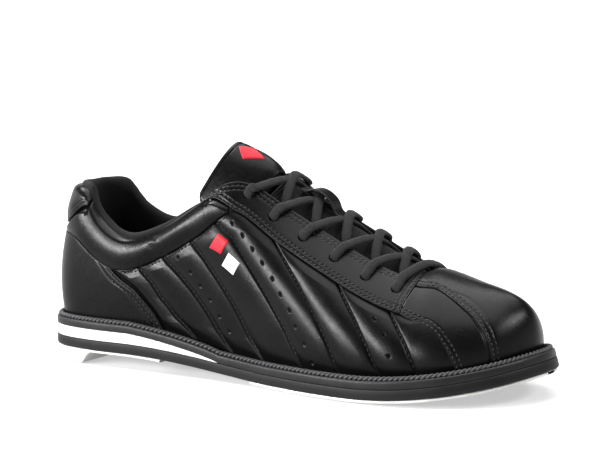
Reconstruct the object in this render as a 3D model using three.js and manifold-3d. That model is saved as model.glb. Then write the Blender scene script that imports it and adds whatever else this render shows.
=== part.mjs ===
// Bowling shoe, right foot. Millimetres, +X to the toe, +Y to the inner (medial) side, +Z up.
// Origin: under the middle of the sole, on the floor.
import * as THREE from 'three';
import Module from 'manifold-3d';

// ---------------------------------------------------------------- driving dimensions
const LENGTH = 302;                 // sole, heel to toe
const HALF_L = LENGTH / 2;
const HEEL_LIFT = 8.3;              // floor to the rubber layer at the heel
const FORE_LIFT = 1.8;              // floor to the rubber layer at the ball
const SPRING = 14, SPRING_X = 60;   // toe spring and where it starts
const RUBBER = 5.6;                 // black rubber layer
const WEDGE = 6, WEDGE_TIP_X = -28; // white wedge: height at the heel, where it runs out
const WELT = 4.4;                   // welt strip
const WELT_WIDTH = 11;
const GAP = 0.3;                    // air left between pieces that touch
const BEAD_R = 1.3, BEAD_INSET = 2.2;
const SLIDE = 1.5, SLIDE_BACK_X = -6;
const BREAST_X = -121;              // front of the heel block, at the floor
const HEEL_PLATE = 1.3, HEEL_PLATE_X = -66;
// layers of the upper, measured along the outward normal of the last surface
const OVER_OUT = 0.6, OVER_IN = -0.6;     // overlaid panels
const EYESTAY_IN = -1.4;
const BASE_OUT = -1.3, BASE_IN = -2.5;    // quarters, stiffener, toe puff
const LINE_OUT = -3.1, LINE_IN = -4.2;    // linings
const COLLAR_PUFF = 1.2, COLLAR_PAD = 4.5;
const TONGUE_D = -7.2, TONGUE_T = 3;
const EYELET_R = 3.6;
const LACE_W = 4.6, LACE_T = 1.6;

// Stations round the shoe, outer side from the heel (0) to the toe tip (16), inner side back
// to the heel (31): sole edge x, y.
const SOLE = [
  [-151, 0], [-147, -17.5], [-135, -28.5], [-114, -33.8], [-90, -35], [-64, -35.5],
  [-38, -36.5], [-14, -39.5], [9, -45], [31, -50.5], [53, -53.7], [76, -53.8], [97, -50.5],
  [116, -44], [133, -33], [145, -16.5], [151, 3], [147.5, 21], [137.5, 35.5], [121, 46],
  [101, 52], [79, 54], [56, 52.3], [33, 47.5], [10, 41.5], [-14, 36.5], [-38, 34],
  [-64, 33.5], [-90, 34], [-114, 33.2], [-135, 27.5], [-147, 16.5],
];
// Top line on the outer side at stations 0..16: x, y, z, then how the wall leaves the sole
// (reach, lean in degrees) and how it arrives at the top line (reach, fall in degrees).
const TOP = [
  [-139, 0, 99, 32, 9, 27, 80], [-135, -14, 99.5, 32, 10, 27, 80],
  [-122.5, -23.5, 97, 30, 8, 25, 80], [-109, -27, 81, 22, 5, 18, 80],
  [-92, -29.5, 73.3, 20, 5, 16, 80], [-70, -31, 80, 22, 5, 18, 76],
  [-47, -32, 93, 28, 6, 24, 70], [-26, -31, 106, 32, 7, 28, 60],
  [-12, -25, 106, 34, 9, 28, 48], [8, -20.5, 94, 32, 11, 26, 42],
  [34, -19, 80, 26, 13, 24, 36], [58, -17.5, 68, 22, 14, 22, 32],
  [77, -14, 61.3, 20, 13, 20, 25], [85, 3, 63.6, 18, 11, 26, 8],
  [104, 3, 59.2, 17, 8, 24, 7], [117, 3, 56.4, 16, 5, 20, 7], [124, 3, 54.6, 15, 4, 18, 6],
];
// the inner side of the collar stands a little higher
const INNER_RISE = [0, 0, 1, 3, 4, 4, 2, 0, -1.5, -1, 0, 0, 0, 0, 0, 0, 0];
const AROUND = 32, TIP = 16, RIDGE = 13;   // stations: full turn, toe tip, foot of the throat

// ---------------------------------------------------------------- curves
const clamp01 = (t) => Math.min(1, Math.max(0, t));
const lerp = (a, b, t) => a + (b - a) * t;
const V = (x, y, z) => new THREE.Vector3(x, y, z);

/** Catmull-Rom through equally spaced rows of numbers; `closed` wraps round. */
function spline(rows, closed) {
  const n = rows.length;
  const row = (i) => rows[closed ? ((i % n) + n) % n : Math.min(n - 1, Math.max(0, i))];
  return (s) => {
    const i = closed ? Math.floor(s) : Math.min(n - 2, Math.max(0, Math.floor(s)));
    const t = s - i;
    const [a, b, c, d] = [row(i - 1), row(i), row(i + 1), row(i + 2)];
    return b.map((_, k) => 0.5 * (2 * b[k] + (c[k] - a[k]) * t
      + (2 * a[k] - 5 * b[k] + 4 * c[k] - d[k]) * t * t
      + (3 * b[k] - a[k] - 3 * c[k] + d[k]) * t * t * t));
  };
}
/** Straight-line interpolation through [x, y] knots. */
function through(...knots) {
  return (x) => {
    if (x <= knots[0][0]) return knots[0][1];
    for (let i = 1; i < knots.length; i++) {
      const [x0, y0] = knots[i - 1], [x1, y1] = knots[i];
      if (x <= x1) return lerp(y0, y1, (x - x0) / (x1 - x0));
    }
    return knots[knots.length - 1][1];
  };
}

const middleY = through([-60, 0], [60, 3]);
const stations = SOLE.map((edge, i) => {
  if (i <= TIP) return [...edge, ...TOP[i]];
  const [x, y, z, ...rest] = TOP[AROUND - i];
  return [...edge, x, 2 * middleY(x) - y, z + INNER_RISE[AROUND - i], ...rest];
});
const station = spline(stations, true);

// ---------------------------------------------------------------- sole stack
function rubberBottom(x) {
  const t = clamp01((x + 92) / 104);
  const rise = x > SPRING_X ? SPRING * ((x - SPRING_X) / (HALF_L - SPRING_X)) ** 2 : 0;
  return lerp(HEEL_LIFT, FORE_LIFT, t * t * (3 - 2 * t)) + rise;
}
const wedgeAt = (x) => WEDGE * clamp01((WEDGE_TIP_X - x) / 60) ** 0.7;
const weltTop = (x) => RUBBER + wedgeAt(x) + WELT;
/** Point `h` above the underside of the rubber layer, square to its slope. */
function inStack(x, y, h) {
  const s = rubberBottom(x + 0.5) - rubberBottom(x - 0.5);
  const c = 1 / Math.hypot(1, s);
  return V(x - h * s * c, y, rubberBottom(x) + h * c);
}
/** Sole edge at station u moved in by d, with its outward direction. */
function edgeAt(u, d = 0) {
  const [x, y] = station(u);
  const a = station(u - 1e-3), b = station(u + 1e-3);
  const n = V(b[1] - a[1], a[0] - b[0], 0).normalize();
  return { x: x - d * n.x, y: y - d * n.y, n };
}
/** y of the edge (moved in by d) at a given x, on the outer or the inner side. */
function edgeY(x, d, inner) {
  let lo = 0, hi = TIP;
  for (let k = 0; k < 40; k++) {
    const mid = (lo + hi) / 2;
    if (edgeAt(inner ? AROUND - mid : mid, d).x < x) lo = mid; else hi = mid;
  }
  return edgeAt(inner ? AROUND - lo : lo, d).y;
}

// ---------------------------------------------------------------- surface of the last
const featherInset = (x) => 5 + 1.5 * clamp01((x + 140) / 50);
const rad = THREE.MathUtils.degToRad;
/** Point of the upper at station u (0..32) and height fraction w (0 sole, 1 top line). */
function skin(u, w) {
  const [, , tx, side, tz, reach0, lean, reach1, fall] = station(u);
  const v32 = ((u % AROUND) + AROUND) % AROUND;
  const ty = v32 >= RIDGE && v32 <= AROUND - RIDGE ? middleY(tx) : side;
  const { n } = edgeAt(u);
  const foot = edgeAt(u, featherInset(edgeAt(u).x));
  const p0 = inStack(foot.x, foot.y, weltTop(foot.x) + 0.4);
  const p3 = V(tx, ty, tz);
  const p1 = p0.clone().addScaledVector(n, reach0 * Math.sin(rad(lean)));
  p1.z += reach0 * Math.cos(rad(lean));
  const p2 = p3.clone().addScaledVector(n, reach1 * Math.cos(rad(fall)));
  p2.z -= reach1 * Math.sin(rad(fall));
  const v = 1 - w;
  return V(0, 0, 0).addScaledVector(p0, v * v * v).addScaledVector(p1, 3 * v * v * w)
    .addScaledVector(p2, 3 * v * w * w).addScaledVector(p3, w * w * w);
}
function plainNormal(u, w) {
  const e = 1e-3;
  const du = skin(u + e, w).sub(skin(u - e, w));
  const dw = skin(u, w + e).sub(skin(u, w - e));
  return du.cross(dw).normalize();
}
/** Outward normal; the two sides share one along the ridge of the toe. */
function skinNormal(u, w) {
  const v = ((u % AROUND) + AROUND) % AROUND;
  if (w > 0.985 && v >= RIDGE - 1e-6 && v <= AROUND - RIDGE + 1e-6) {
    return plainNormal(v, 0.97).add(plainNormal(AROUND - v, 0.97)).normalize();
  }
  return plainNormal(u, Math.min(w, 0.995));
}
const onSkin = (u, w, d) => skin(u, w).addScaledVector(skinNormal(u, w), d);

// ---------------------------------------------------------------- closed bodies
class Body {
  constructor() { this.points = []; this.faces = []; this.seen = new Map(); }
  add(p) {
    const key = [p.x, p.y, p.z].map((c) => Math.round(c * 5000)).join();
    if (!this.seen.has(key)) { this.seen.set(key, this.points.length); this.points.push(p); }
    return this.seen.get(key);
  }
  face(...ids) {
    for (let k = 1; k + 1 < ids.length; k++) {
      const [a, b, c] = [ids[0], ids[k], ids[k + 1]];
      if (a !== b && b !== c && c !== a) this.faces.push(a, b, c);
    }
  }
  geometry() {
    const g = new THREE.BufferGeometry();
    g.setAttribute('position', new THREE.Float32BufferAttribute(
      this.points.flatMap((p) => [p.x, p.y, p.z]), 3));
    g.setIndex(this.faces);
    return g;
  }
}

/** A sheet of the upper: `at(a, t)` gives [u, w]; out and into give the two faces' offsets.
 *  `joined(i)` tells which columns of the last row close on the opposite side. */
function sheet({ na, nt, at, out, into, joined = () => false }) {
  const body = new Body();
  const offset = (f, a, t) => (typeof f === 'function' ? f(a, t) : f);
  const faces = [out, into].map((f) => Array.from({ length: na + 1 }, (_, i) =>
    Array.from({ length: nt + 1 }, (_, j) => {
      const [u, w] = at(i / na, j / nt);
      return body.add(onSkin(u, w, offset(f, i / na, j / nt)));
    })));
  return closeSheet(body, faces, na, nt, joined);
}
function closeSheet(body, [o, n], na, nt, joined = () => false) {
  for (let i = 0; i < na; i++) {
    for (let j = 0; j < nt; j++) {
      body.face(o[i][j], o[i + 1][j], o[i + 1][j + 1], o[i][j + 1]);
      body.face(n[i][j], n[i][j + 1], n[i + 1][j + 1], n[i + 1][j]);
    }
    body.face(n[i][0], n[i + 1][0], o[i + 1][0], o[i][0]);
    if (!joined(i)) body.face(o[i][nt], o[i + 1][nt], n[i + 1][nt], n[i][nt]);
  }
  for (let j = 0; j < nt; j++) {
    body.face(n[0][j], o[0][j], o[0][j + 1], n[0][j + 1]);
    body.face(o[na][j], n[na][j], n[na][j + 1], o[na][j + 1]);
  }
  return body.geometry();
}
/** Sheet over a free surface at(a, t) -> Vector3, thickened along its own normal. */
function freeSheet(na, nt, at, out, into) {
  const body = new Body();
  const e = 1e-3;
  const point = (a, t, d) => {
    const da = at(a + e, t).sub(at(a - e, t)), dt = at(a, t + e).sub(at(a, t - e));
    return at(a, t).addScaledVector(da.cross(dt).normalize(), d);
  };
  const faces = [out, into].map((d) => Array.from({ length: na + 1 }, (_, i) =>
    Array.from({ length: nt + 1 }, (_, j) => body.add(point(i / na, j / nt, d)))));
  return closeSheet(body, faces, na, nt);
}
/** Plate between the two edges of the sole: rows of {x, low, high} heights in the stack. */
function plate(rows, d) {
  const body = new Body();
  const ring = rows.map(({ x, low, high }) => [false, true].map((inner) => {
    const y = edgeY(x, d, inner);
    return [low, high].map((h) => body.add(inStack(x, y, h)));
  }));
  for (let k = 0; k + 1 < ring.length; k++) {
    const [[al, ah], [bl, bh]] = ring[k], [[cl, ch], [dl, dh]] = ring[k + 1];
    body.face(ah, ch, dh, bh);
    body.face(al, bl, dl, cl);
    body.face(al, cl, ch, ah);
    body.face(bl, bh, dh, dl);
  }
  const cap = ([[al, ah], [bl, bh]]) => [al, ah, bh, bl];
  body.face(...cap(ring[0]));
  body.face(...cap(ring[ring.length - 1]).reverse());
  return body.geometry();
}
/** x positions from a to b, crowded towards the ends that are rounded. */
function spread(a, b, n, roundA, roundB) {
  return Array.from({ length: n + 1 }, (_, k) => {
    const t = k / n;
    const e = roundA && roundB ? (1 - Math.cos(Math.PI * t)) / 2
      : roundA ? 1 - Math.cos(Math.PI * t / 2) : roundB ? Math.sin(Math.PI * t / 2) : t;
    return lerp(a, b, e);
  });
}
/** Closed ring along the sole edge; profile(u) gives its corners as [inset, height]. */
function ringBody(n, profile) {
  const body = new Body();
  const rows = Array.from({ length: n }, (_, k) => {
    const u = (k / n) * AROUND;
    return profile(u).map(([d, h]) => {
      const e = edgeAt(u, d);
      return body.add(inStack(e.x, e.y, h));
    });
  });
  rows.forEach((row, k) => {
    const next = rows[(k + 1) % n];
    row.forEach((p, c) => {
      const m = (c + 1) % row.length;
      body.face(p, row[m], next[m], next[c]);
    });
  });
  return body.geometry();
}

// ---------------------------------------------------------------- seam lines (u -> w)
const quarterTop = through([3.2, 0.61], [4, 0.62], [4.8, 0.71], [5.7, 0.77], [6.5, 0.8],
  [7.1, 0.84], [7.85, 0.84], [9, 0.77], [9.9, 0.735], [10.8, 0.69], [11.8, 0.62], [12.5, 0.6]);
const eyestayLow = through([6.6, 0.955], [6.8, 0.925], [7.1, 0.87], [7.5, 0.82],
  [7.85, 0.795], [9, 0.72], [9.9, 0.684], [10.8, 0.636], [11.9, 0.565]);
const collarLow = through([0, 0.645], [1, 0.63], [2, 0.615], [3, 0.605], [3.6, 0.585],
  [4, 0.59], [4.8, 0.67], [5.7, 0.73], [6.5, 0.756], [7.1, 0.79], [7.35, 0.805]);
const tabLow = through([0, 0.675], [1, 0.69], [1.6, 0.77], [2.1, 0.89], [2.3, 0.94]);
const capBack = through([0, 14.3], [0.185, 14.2], [0.334, 14.04], [0.495, 13.79],
  [0.623, 13.41], [0.722, 12.9], [0.87, 12.45], [1, 12.6]);
const vampBack = through([0, 13.25], [0.25, 13.0], [0.5, 12.72], [0.75, 12.3], [1, 11.9]);
const vampBackW = through([0, 0], [0.25, 0.2], [0.5, 0.35], [0.75, 0.47], [1, 0.585]);
const vampFrontW = through([0, 0], [0.2, 0.185], [0.4, 0.37], [0.6, 0.56], [0.8, 0.72], [1, 0.87]);
const counterEnd = through([0, 4.85], [0.25, 4.65], [0.65, 4.2], [1, 3.5]);
const EYELETS = [[8.0, 0.915], [8.77, 0.87], [9.48, 0.855], [10.18, 0.835], [10.91, 0.815],
  [11.7, 0.8]];

// ---------------------------------------------------------------- group and materials
const shoe = new THREE.Group();
shoe.name = 'bowling_shoe';
const LOOKS = {
  leather: [0x1d1d20, 0.42], cloth: [0x18181a, 0.9], rubber: [0x17171a, 0.6],
  white: [0xe9e8e2, 0.6], welt: [0x37373b, 0.6], board: [0x8c7a5c, 0.9], lace: [0x26262a, 0.9],
  red: [0xd0203a, 0.8], thread: [0xf2f2ee, 0.8], plastic: [0x101012, 0.35],
};
function add(name, geometry, look) {
  const [color, roughness] = LOOKS[look];
  const material = new THREE.MeshStandardMaterial({ color, roughness });
  material.name = look;
  const mesh = new THREE.Mesh(geometry, material);
  mesh.name = name;
  shoe.add(mesh);
}
/** Adds the outer (lateral) and the inner (medial) one of a pair of sheets. */
function addPair(name, spec, look) {
  const flip = (f) => (typeof f === 'function' ? (a, t) => f(1 - a, t) : f);
  add(`${name}_lateral`, sheet(spec), look);
  add(`${name}_medial`, sheet({
    ...spec,
    at: (a, t) => { const [u, w] = spec.at(1 - a, t); return [AROUND - u, w]; },
    out: flip(spec.out), into: flip(spec.into),
  }), look);
}

// ---------------------------------------------------------------- sole
const level = (xs, low, high) => xs.map((x) => ({ x, low: low(x), high: high(x) }));
add('outsole', plate(level(spread(-HALF_L, HALF_L, 26, true, true), () => 0, () => RUBBER), 0),
  'rubber');
add('wedge', plate(level(spread(-HALF_L, WEDGE_TIP_X - 3, 14, true, false),
  () => RUBBER + GAP, (x) => RUBBER + wedgeAt(x)), 0), 'white');
add('welt', ringBody(48, (u) => {
  const low = (d) => RUBBER + wedgeAt(edgeAt(u, d).x) + GAP;
  const high = (d) => weltTop(edgeAt(u, d).x);
  return [[0, low(0)], [WELT_WIDTH, low(WELT_WIDTH)], [WELT_WIDTH, high(WELT_WIDTH)], [0.6, high(0.6)]];
}), 'welt');
add('welt_bead', ringBody(48, (u) => Array.from({ length: 5 }, (_, k) => {
  const a = k * 2 * Math.PI / 5;
  const h = weltTop(edgeAt(u, BEAD_INSET).x) + GAP + BEAD_R;
  return [BEAD_INSET + BEAD_R * Math.sin(a), h - BEAD_R * Math.cos(a)];
})), 'thread');
const BOARD_INSET = WELT_WIDTH + 0.5;
add('insole_board', plate(level(spread(-HALF_L + BOARD_INSET, HALF_L - BOARD_INSET, 20, true, true),
  (x) => RUBBER + wedgeAt(x) + GAP, (x) => weltTop(x)), BOARD_INSET), 'board');
const SOCK_INSET = 12.2, SOCK_TOP = 4.4;
add('sockliner', plate(level(spread(-HALF_L + SOCK_INSET, HALF_L - SOCK_INSET, 20, true, true),
  (x) => weltTop(x) + 0.4, (x) => weltTop(x) + SOCK_TOP), SOCK_INSET), 'cloth');
const floorAt = (x) => -rubberBottom(x);
add('heel_block', plate([
  ...level(spread(-HALF_L + 0.5, BREAST_X, 8, true, false), floorAt, () => -GAP),
  ...[[-119.4, 0.35], [-117, 0.7], [-114, 1]].map(([x, t]) => (
    { x, low: lerp(floorAt(x), -GAP - HEEL_PLATE, t), high: -GAP })),
  ...level([-98, -82, HEEL_PLATE_X], () => -GAP - HEEL_PLATE, () => -GAP),
], 0.5), 'white');
add('slide_sole', plate(level([...spread(SLIDE_BACK_X, 12, 3), 36, SPRING_X,
  ...spread(76, HALF_L - 1.5, 9, false, true)], () => -GAP - SLIDE, () => -GAP), 1.5), 'white');

// ---------------------------------------------------------------- upper
addPair('quarter', {
  na: 16, nt: 6, out: BASE_OUT, into: BASE_IN,
  at: (a, t) => {
    const u = lerp(lerp(4.5, 3.3, t ** 1.5), lerp(13.55, 12.15, t ** 1.6), a);
    return [u, t * quarterTop(u)];
  },
}, 'leather');
addPair('vamp_side', {
  na: 3, nt: 8, out: OVER_OUT, into: OVER_IN,
  at: (a, t) => {
    const w1 = vampFrontW(t);
    return [lerp(vampBack(t), capBack(w1) - 0.07, a), lerp(vampBackW(t), w1, a)];
  },
}, 'leather');
addPair('collar', {
  na: 17, nt: 4, into: OVER_IN,
  out: (a, t) => OVER_OUT + COLLAR_PUFF * Math.sin(Math.PI * t) * clamp01((1 - a) * 5),
  at: (a, t) => {
    const u = lerp(0.02, 7.3, a);
    const top = u < 2.33 ? Math.min(1, tabLow(u) - 0.012)
      : u < 6.5 ? lerp(0.95, 1, clamp01((u - 2.33) * 4)) : Math.min(1, eyestayLow(u) - 0.012);
    const end = u > 6.3 && u < 6.6 ? lerp(1, 0.942, (u - 6.3) / 0.3) : top;
    return [u, lerp(collarLow(u), end, t)];
  },
}, 'leather');
add('heel_counter', sheet({
  na: 20, nt: 4, out: OVER_OUT, into: OVER_IN,
  at: (a, t) => {
    const s = 2 * a - 1;
    return [s * counterEnd(t), t * (0.57 + 0.06 * (1 - s * s))];
  },
}), 'leather');
add('heel_tab', sheet({
  na: 10, nt: 3, into: OVER_IN,
  out: (a, t) => OVER_OUT + COLLAR_PUFF * Math.sin(Math.PI * a) * Math.sin(Math.PI * (0.1 + 0.8 * t)),
  at: (a, t) => {
    const u = (2 * a - 1) * 2.25;
    return [u, lerp(tabLow(Math.abs(u)), 1, t)];
  },
}), 'leather');
/** Symmetric sheet folded over the toe: from(w) is where its back edge lies. */
function toeSheet(half, nt, from, topW, out, into) {
  const na = 2 * half;
  const uAt = (a, t) => {
    const s = Math.abs(2 * a - 1), side = a < 0.5 ? 0 : 1;
    const u = lerp(TIP, from(t), s);
    return side ? AROUND - u : u;
  };
  return sheet({
    na, nt, out, into,
    at: (a, t) => { const u = uAt(a, t); return [u, t * topW(Math.min(u, AROUND - u))]; },
    joined: (i) => {
      const a = uAt(i / na, 1), b = uAt((i + 1) / na, 1);
      return Math.min(a, AROUND - b) > RIDGE - 0.02;
    },
  });
}
/** back edge whose top row puts a column exactly on the foot of the throat */
add('toe_cap', toeSheet(10, 7, (t) => (t > 0.999 ? TIP - (TIP - RIDGE) / 0.9 : capBack(t)),
  () => 1, OVER_OUT, OVER_IN), 'leather');
add('toe_puff', toeSheet(5, 7, () => 14.1, () => 1, BASE_OUT, BASE_IN), 'cloth');
const vampLiningTop = through([7.3, 0.8], [8.6, 0.78], [9.5, 0.76], [10.2, 0.74], [10.9, 0.72],
  [11.7, 0.7], [12.4, 0.78], [13, 1]);
add('vamp_lining', toeSheet(12, 7, () => TIP - (TIP - RIDGE) * 12 / 4, vampLiningTop,
  LINE_OUT, LINE_IN), 'cloth');
add('collar_lining', sheet({
  na: 26, nt: 6, out: LINE_OUT,
  at: (a, t) => [(2 * a - 1) * 6.75, t],
  into: (a, t) => LINE_IN - COLLAR_PAD * Math.sin(Math.PI * clamp01((t - 0.4) / 0.6)) ** 0.8
    * clamp01((1 - Math.abs(2 * a - 1)) * 7),
}), 'cloth');
add('heel_stiffener', sheet({
  na: 16, nt: 4, out: BASE_OUT, into: BASE_IN,
  at: (a, t) => [(2 * a - 1) * lerp(4.0, 3.0, t), 0.52 * t],
}), 'board');

// ---------------------------------------------------------------- eyestays with punched holes
const wasm = await Module();
wasm.setup();
const { Manifold, Mesh: Solid } = wasm;
const toSolid = (g) => new Manifold(new Solid({
  numProp: 3, vertProperties: new Float32Array(g.attributes.position.array),
  triVerts: new Uint32Array(g.index.array),
}));
function toGeometry(solid) {
  const m = solid.getMesh();
  const g = new THREE.BufferGeometry();
  g.setAttribute('position', new THREE.BufferAttribute(Float32Array.from(m.vertProperties), 3));
  g.setIndex(Array.from(m.triVerts));
  return g;
}
function punch(u, w) {
  const g = new THREE.CylinderGeometry(EYELET_R, EYELET_R, 9, 8, 1);
  const body = new Body();
  const pos = g.attributes.position;
  const ids = Array.from({ length: pos.count }, (_, k) =>
    body.add(V(pos.getX(k), pos.getY(k), pos.getZ(k))));
  for (let k = 0; k < g.index.count; k += 3) {
    body.face(...[0, 1, 2].map((c) => ids[g.index.getX(k + c)]));
  }
  const turn = new THREE.Quaternion().setFromUnitVectors(V(0, 1, 0), skinNormal(u, w));
  return toSolid(body.geometry().applyQuaternion(turn).translate(...skin(u, w).toArray()));
}
for (const [side, inner] of [['lateral', false], ['medial', true]]) {
  const at = (a, t) => {
    const b = inner ? 1 - a : a;
    const u = lerp(6.64, lerp(11.87, 12.33, t), b);
    return [inner ? AROUND - u : u, lerp(eyestayLow(u), 1, t)];
  };
  const into = (a, t) => (t < 0.4 ? OVER_IN : EYESTAY_IN);   // thin where it laps the quarter
  const blank = toSolid(sheet({ na: 15, nt: 3, at, out: OVER_OUT, into }));
  const holes = EYELETS.map(([u, w]) => punch(inner ? AROUND - u : u, w));
  add(`eyestay_${side}`, toGeometry(holes.reduce((s, h) => s.subtract(h), blank)), 'leather');
}

// ---------------------------------------------------------------- tongue
// centre line x, z with the station its sides follow and how high up the wall they reach
const TONGUE = [[95, 52.5, 12.5, 0.84, 0.74], [86, 57, 12.15, 0.92, 0.8],
  [76, 62.5, 11.8, 0.94, 0.83], [62, 69.8, 11.2, 0.95, 0.84], [45, 78.2, 10.45, 0.95, 0.85],
  [26, 88, 9.7, 0.95, 0.86], [8, 98, 9.0, 0.95, 0.87], [-4.5, 106.8, 8.4, 0.95, 0.88]];
const across = TONGUE.map(([x, z, u, wIn, wOut]) => [
  onSkin(u, wOut, TONGUE_D), onSkin(u, wIn, TONGUE_D), V(x, middleY(x), z),
  onSkin(AROUND - u, wIn, TONGUE_D), onSkin(AROUND - u, wOut, TONGUE_D),
].flatMap((p) => p.toArray()));
const tongueRows = spline(across, false);
/** Point of the tongue's face: s along (0 toe .. 7 ankle), c across (0 outer .. 4 inner). */
function onTongue(s, c) {
  const row = tongueRows(s);
  return V(...spline([0, 3, 6, 9, 12].map((k) => row.slice(k, k + 3)), false)(c));
}
add('tongue_lower', freeSheet(12, 8, (a, t) => onTongue(7 * (1 - a), 4 * t), 0, -TONGUE_T), 'cloth');

// Tongue top: arches over the ankle; each row is centre x, z, half width and drop at the edge.
const FLAP = [[-8.5, 111.2, 10, 8], [-13, 115, 14, 14], [-19, 118.6, 19, 26], [-28, 122.5, 22, 33],
  [-34, 125, 22, 33.5], [-37, 126, 20.5, 30]];
const DOWN = V(-0.41, 0, -0.91);
const flapRows = spline(FLAP, false);
function onFlap(a, t) {
  const [x, z, half, drop] = flapRows(5 * (1 - a));
  const y = 2 * t - 1;
  return V(x, middleY(x) + half * y, z).addScaledVector(DOWN, drop * y * y);
}
const flapFace = (a, t) => onFlap(a, t);
add('tongue_top', freeSheet(6, 10, flapFace, 0, -1.6), 'leather');
add('tongue_top_lining', freeSheet(6, 10, flapFace, -2, -6), 'cloth');

// Lace keeper: a strap over the second crossing, sewn down at both ends.
const KEEPER = [[4, 0.4], [7, 1.4], [10.5, 4.8], [15, 5.9], [20, 4.8], [24, 1.4], [27.5, 0.4]];
const tongueZ = (x) => {
  const knots = TONGUE.map(([a, z]) => [a, z]).reverse();
  return through(...knots)(x);
};
add('lace_keeper', (() => {
  const body = new Body();
  const strap = [0.3, 1.5].map((lift) => KEEPER.map(([x, h]) => [-1, 1].map((side) => (
    body.add(V(x + 0.45 * (h + lift), middleY(x) + 4.5 * side, tongueZ(x) + (h + lift) * 0.9))))));
  const [low, high] = strap;
  for (let k = 0; k + 1 < KEEPER.length; k++) {
    body.face(high[k][0], high[k + 1][0], high[k + 1][1], high[k][1]);
    body.face(low[k][0], low[k][1], low[k + 1][1], low[k + 1][0]);
    body.face(low[k][0], low[k + 1][0], high[k + 1][0], high[k][0]);
    body.face(low[k][1], high[k][1], high[k + 1][1], low[k + 1][1]);
  }
  const end = KEEPER.length - 1;
  body.face(low[0][0], high[0][0], high[0][1], low[0][1]);
  body.face(low[end][0], low[end][1], high[end][1], high[end][0]);
  return body.geometry();
})(), 'leather');

// ---------------------------------------------------------------- lace
// One lace laid over: every strand runs down into its eyelet from above, passes under the
// eyestay and comes out at the throat edge just ahead, on its way to the next eyelet up.
const UNDER = -3.5, OVER = OVER_OUT + LACE_T / 2 + 0.35;
const sideU = (u, inner) => (inner ? AROUND - u : u);
function crossing(k) {
  const x = (i) => skin(EYELETS[i][0], 1).x;
  return k === 5 ? x(5) + 6 : (x(k) + x(k + 1)) / 2 + 3;
}
/** Control points from eyelet k on one side to under the other side, beside eyelet k + 1. */
function strand(k, inner, height) {
  const [u, w] = EYELETS[k], [v, z] = EYELETS[k + 1];
  const a = sideU(u, inner), b = sideU(v + 0.12, !inner);
  const x = crossing(k);
  return [
    onSkin(a, w, -0.6), onSkin(sideU(u + 0.01, inner), w + 0.01, OVER - 0.2),
    onSkin(sideU(u + 0.05, inner), w + 0.05, OVER),
    onSkin(sideU(u + 0.17, inner), 0.985, OVER + 0.7),
    V(x, middleY(x), tongueZ(x) + height),
    onSkin(b, 1.0, -4.2), onSkin(b, 0.97, UNDER - 0.8),
    onSkin(sideU(v + 0.03, !inner), z + 0.06, UNDER), onSkin(sideU(v, !inner), z + 0.012, UNDER + 0.3),
  ];
}
const LOW = 2.1, HIGH = 4.4;
function tuckedEnd(inner) {
  const s = inner ? 1 : -1;
  const [u, w] = EYELETS[0];
  const resting = (x, d) => {
    const h = weltTop(x) + SOCK_TOP + 2.9;
    return inStack(x, middleY(x) + s * d, h);
  };
  return [
    onSkin(sideU(u, inner), w - 0.012, UNDER + 0.3), onSkin(sideU(u - 0.02, inner), w - 0.07, UNDER - 1),
    onSkin(sideU(u - 0.05, inner), w - 0.16, LINE_IN - 2.2), V(-14, s * 29, 76), V(-15, s * 27, 58), V(-16, s * 24, 42),
    resting(-18, 20).add(V(0, 0, 6)), resting(-25, 16), resting(-34, 14.5), resting(-44, 14),
  ];
}
const bar = (() => {
  const [u, w] = EYELETS[5];
  const half = (inner) => [
    onSkin(sideU(u, inner), w, -0.6), onSkin(sideU(u + 0.01, inner), w + 0.01, OVER - 0.2),
    onSkin(sideU(u + 0.06, inner), w + 0.06, OVER), onSkin(sideU(u + 0.16, inner), 0.96, OVER + 0.5),
  ];
  const x = crossing(5);
  return [...half(true), V(x, middleY(x), 66.2), ...half(false).reverse()];
})();
const laceRoute = [...tuckedEnd(false).reverse()];
for (let k = 0; k < 5; k++) laceRoute.push(...strand(k, k % 2 === 1, k % 2 === 1 ? HIGH : LOW));
laceRoute.push(...bar);
for (let k = 4; k >= 0; k--) {
  laceRoute.push(...strand(k, k % 2 === 0, k % 2 === 0 ? HIGH : LOW).reverse());
}
laceRoute.push(...tuckedEnd(true));
const ALONG = V(0.86, 0, -0.51);   // the lace's flat lies along the instep
/** Flat band swept along a list of points. */
function band(route, width, thick) {
  const path = spline(route.map((p) => p.toArray()), false);
  const points = [];
  route.slice(1).forEach((p, k) => {
    const steps = Math.max(1, Math.round(p.distanceTo(route[k]) / 6.5));
    for (let s = 0; s < steps; s++) points.push(V(...path(k + s / steps)));
  });
  points.push(route[route.length - 1].clone());
  const body = new Body();
  const rows = points.map((p, k) => {
    const dir = points[Math.min(k + 1, points.length - 1)].clone()
      .sub(points[Math.max(k - 1, 0)]).normalize();
    const side = ALONG.clone().addScaledVector(dir, -ALONG.dot(dir)).normalize();
    const up = dir.clone().cross(side);
    return [[-1, -1], [1, -1], [1, 1], [-1, 1]].map(([a, b]) => body.add(
      p.clone().addScaledVector(side, a * width / 2).addScaledVector(up, b * thick / 2)));
  });
  for (let k = 0; k + 1 < rows.length; k++) {
    rows[k].forEach((_, c) => {
      const m = (c + 1) % 4;
      body.face(rows[k][c], rows[k][m], rows[k + 1][m], rows[k + 1][c]);
    });
  }
  body.face(...[...rows[0]].reverse());
  body.face(...rows[rows.length - 1]);
  return body.geometry();
}
add('lace', band(laceRoute, LACE_W, LACE_T), 'lace');
for (const inner of [false, true]) {
  const [b, a] = tuckedEnd(inner).slice(-2);
  const dir = a.clone().sub(b).normalize().add(V(0, 0, 0.06));
  const from = a.clone().addScaledVector(dir, 0.4);
  add(inner ? 'aglet_medial' : 'aglet_lateral',
    band([from, a.clone().addScaledVector(dir, 22)], 3, 3), 'plastic');
}

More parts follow.
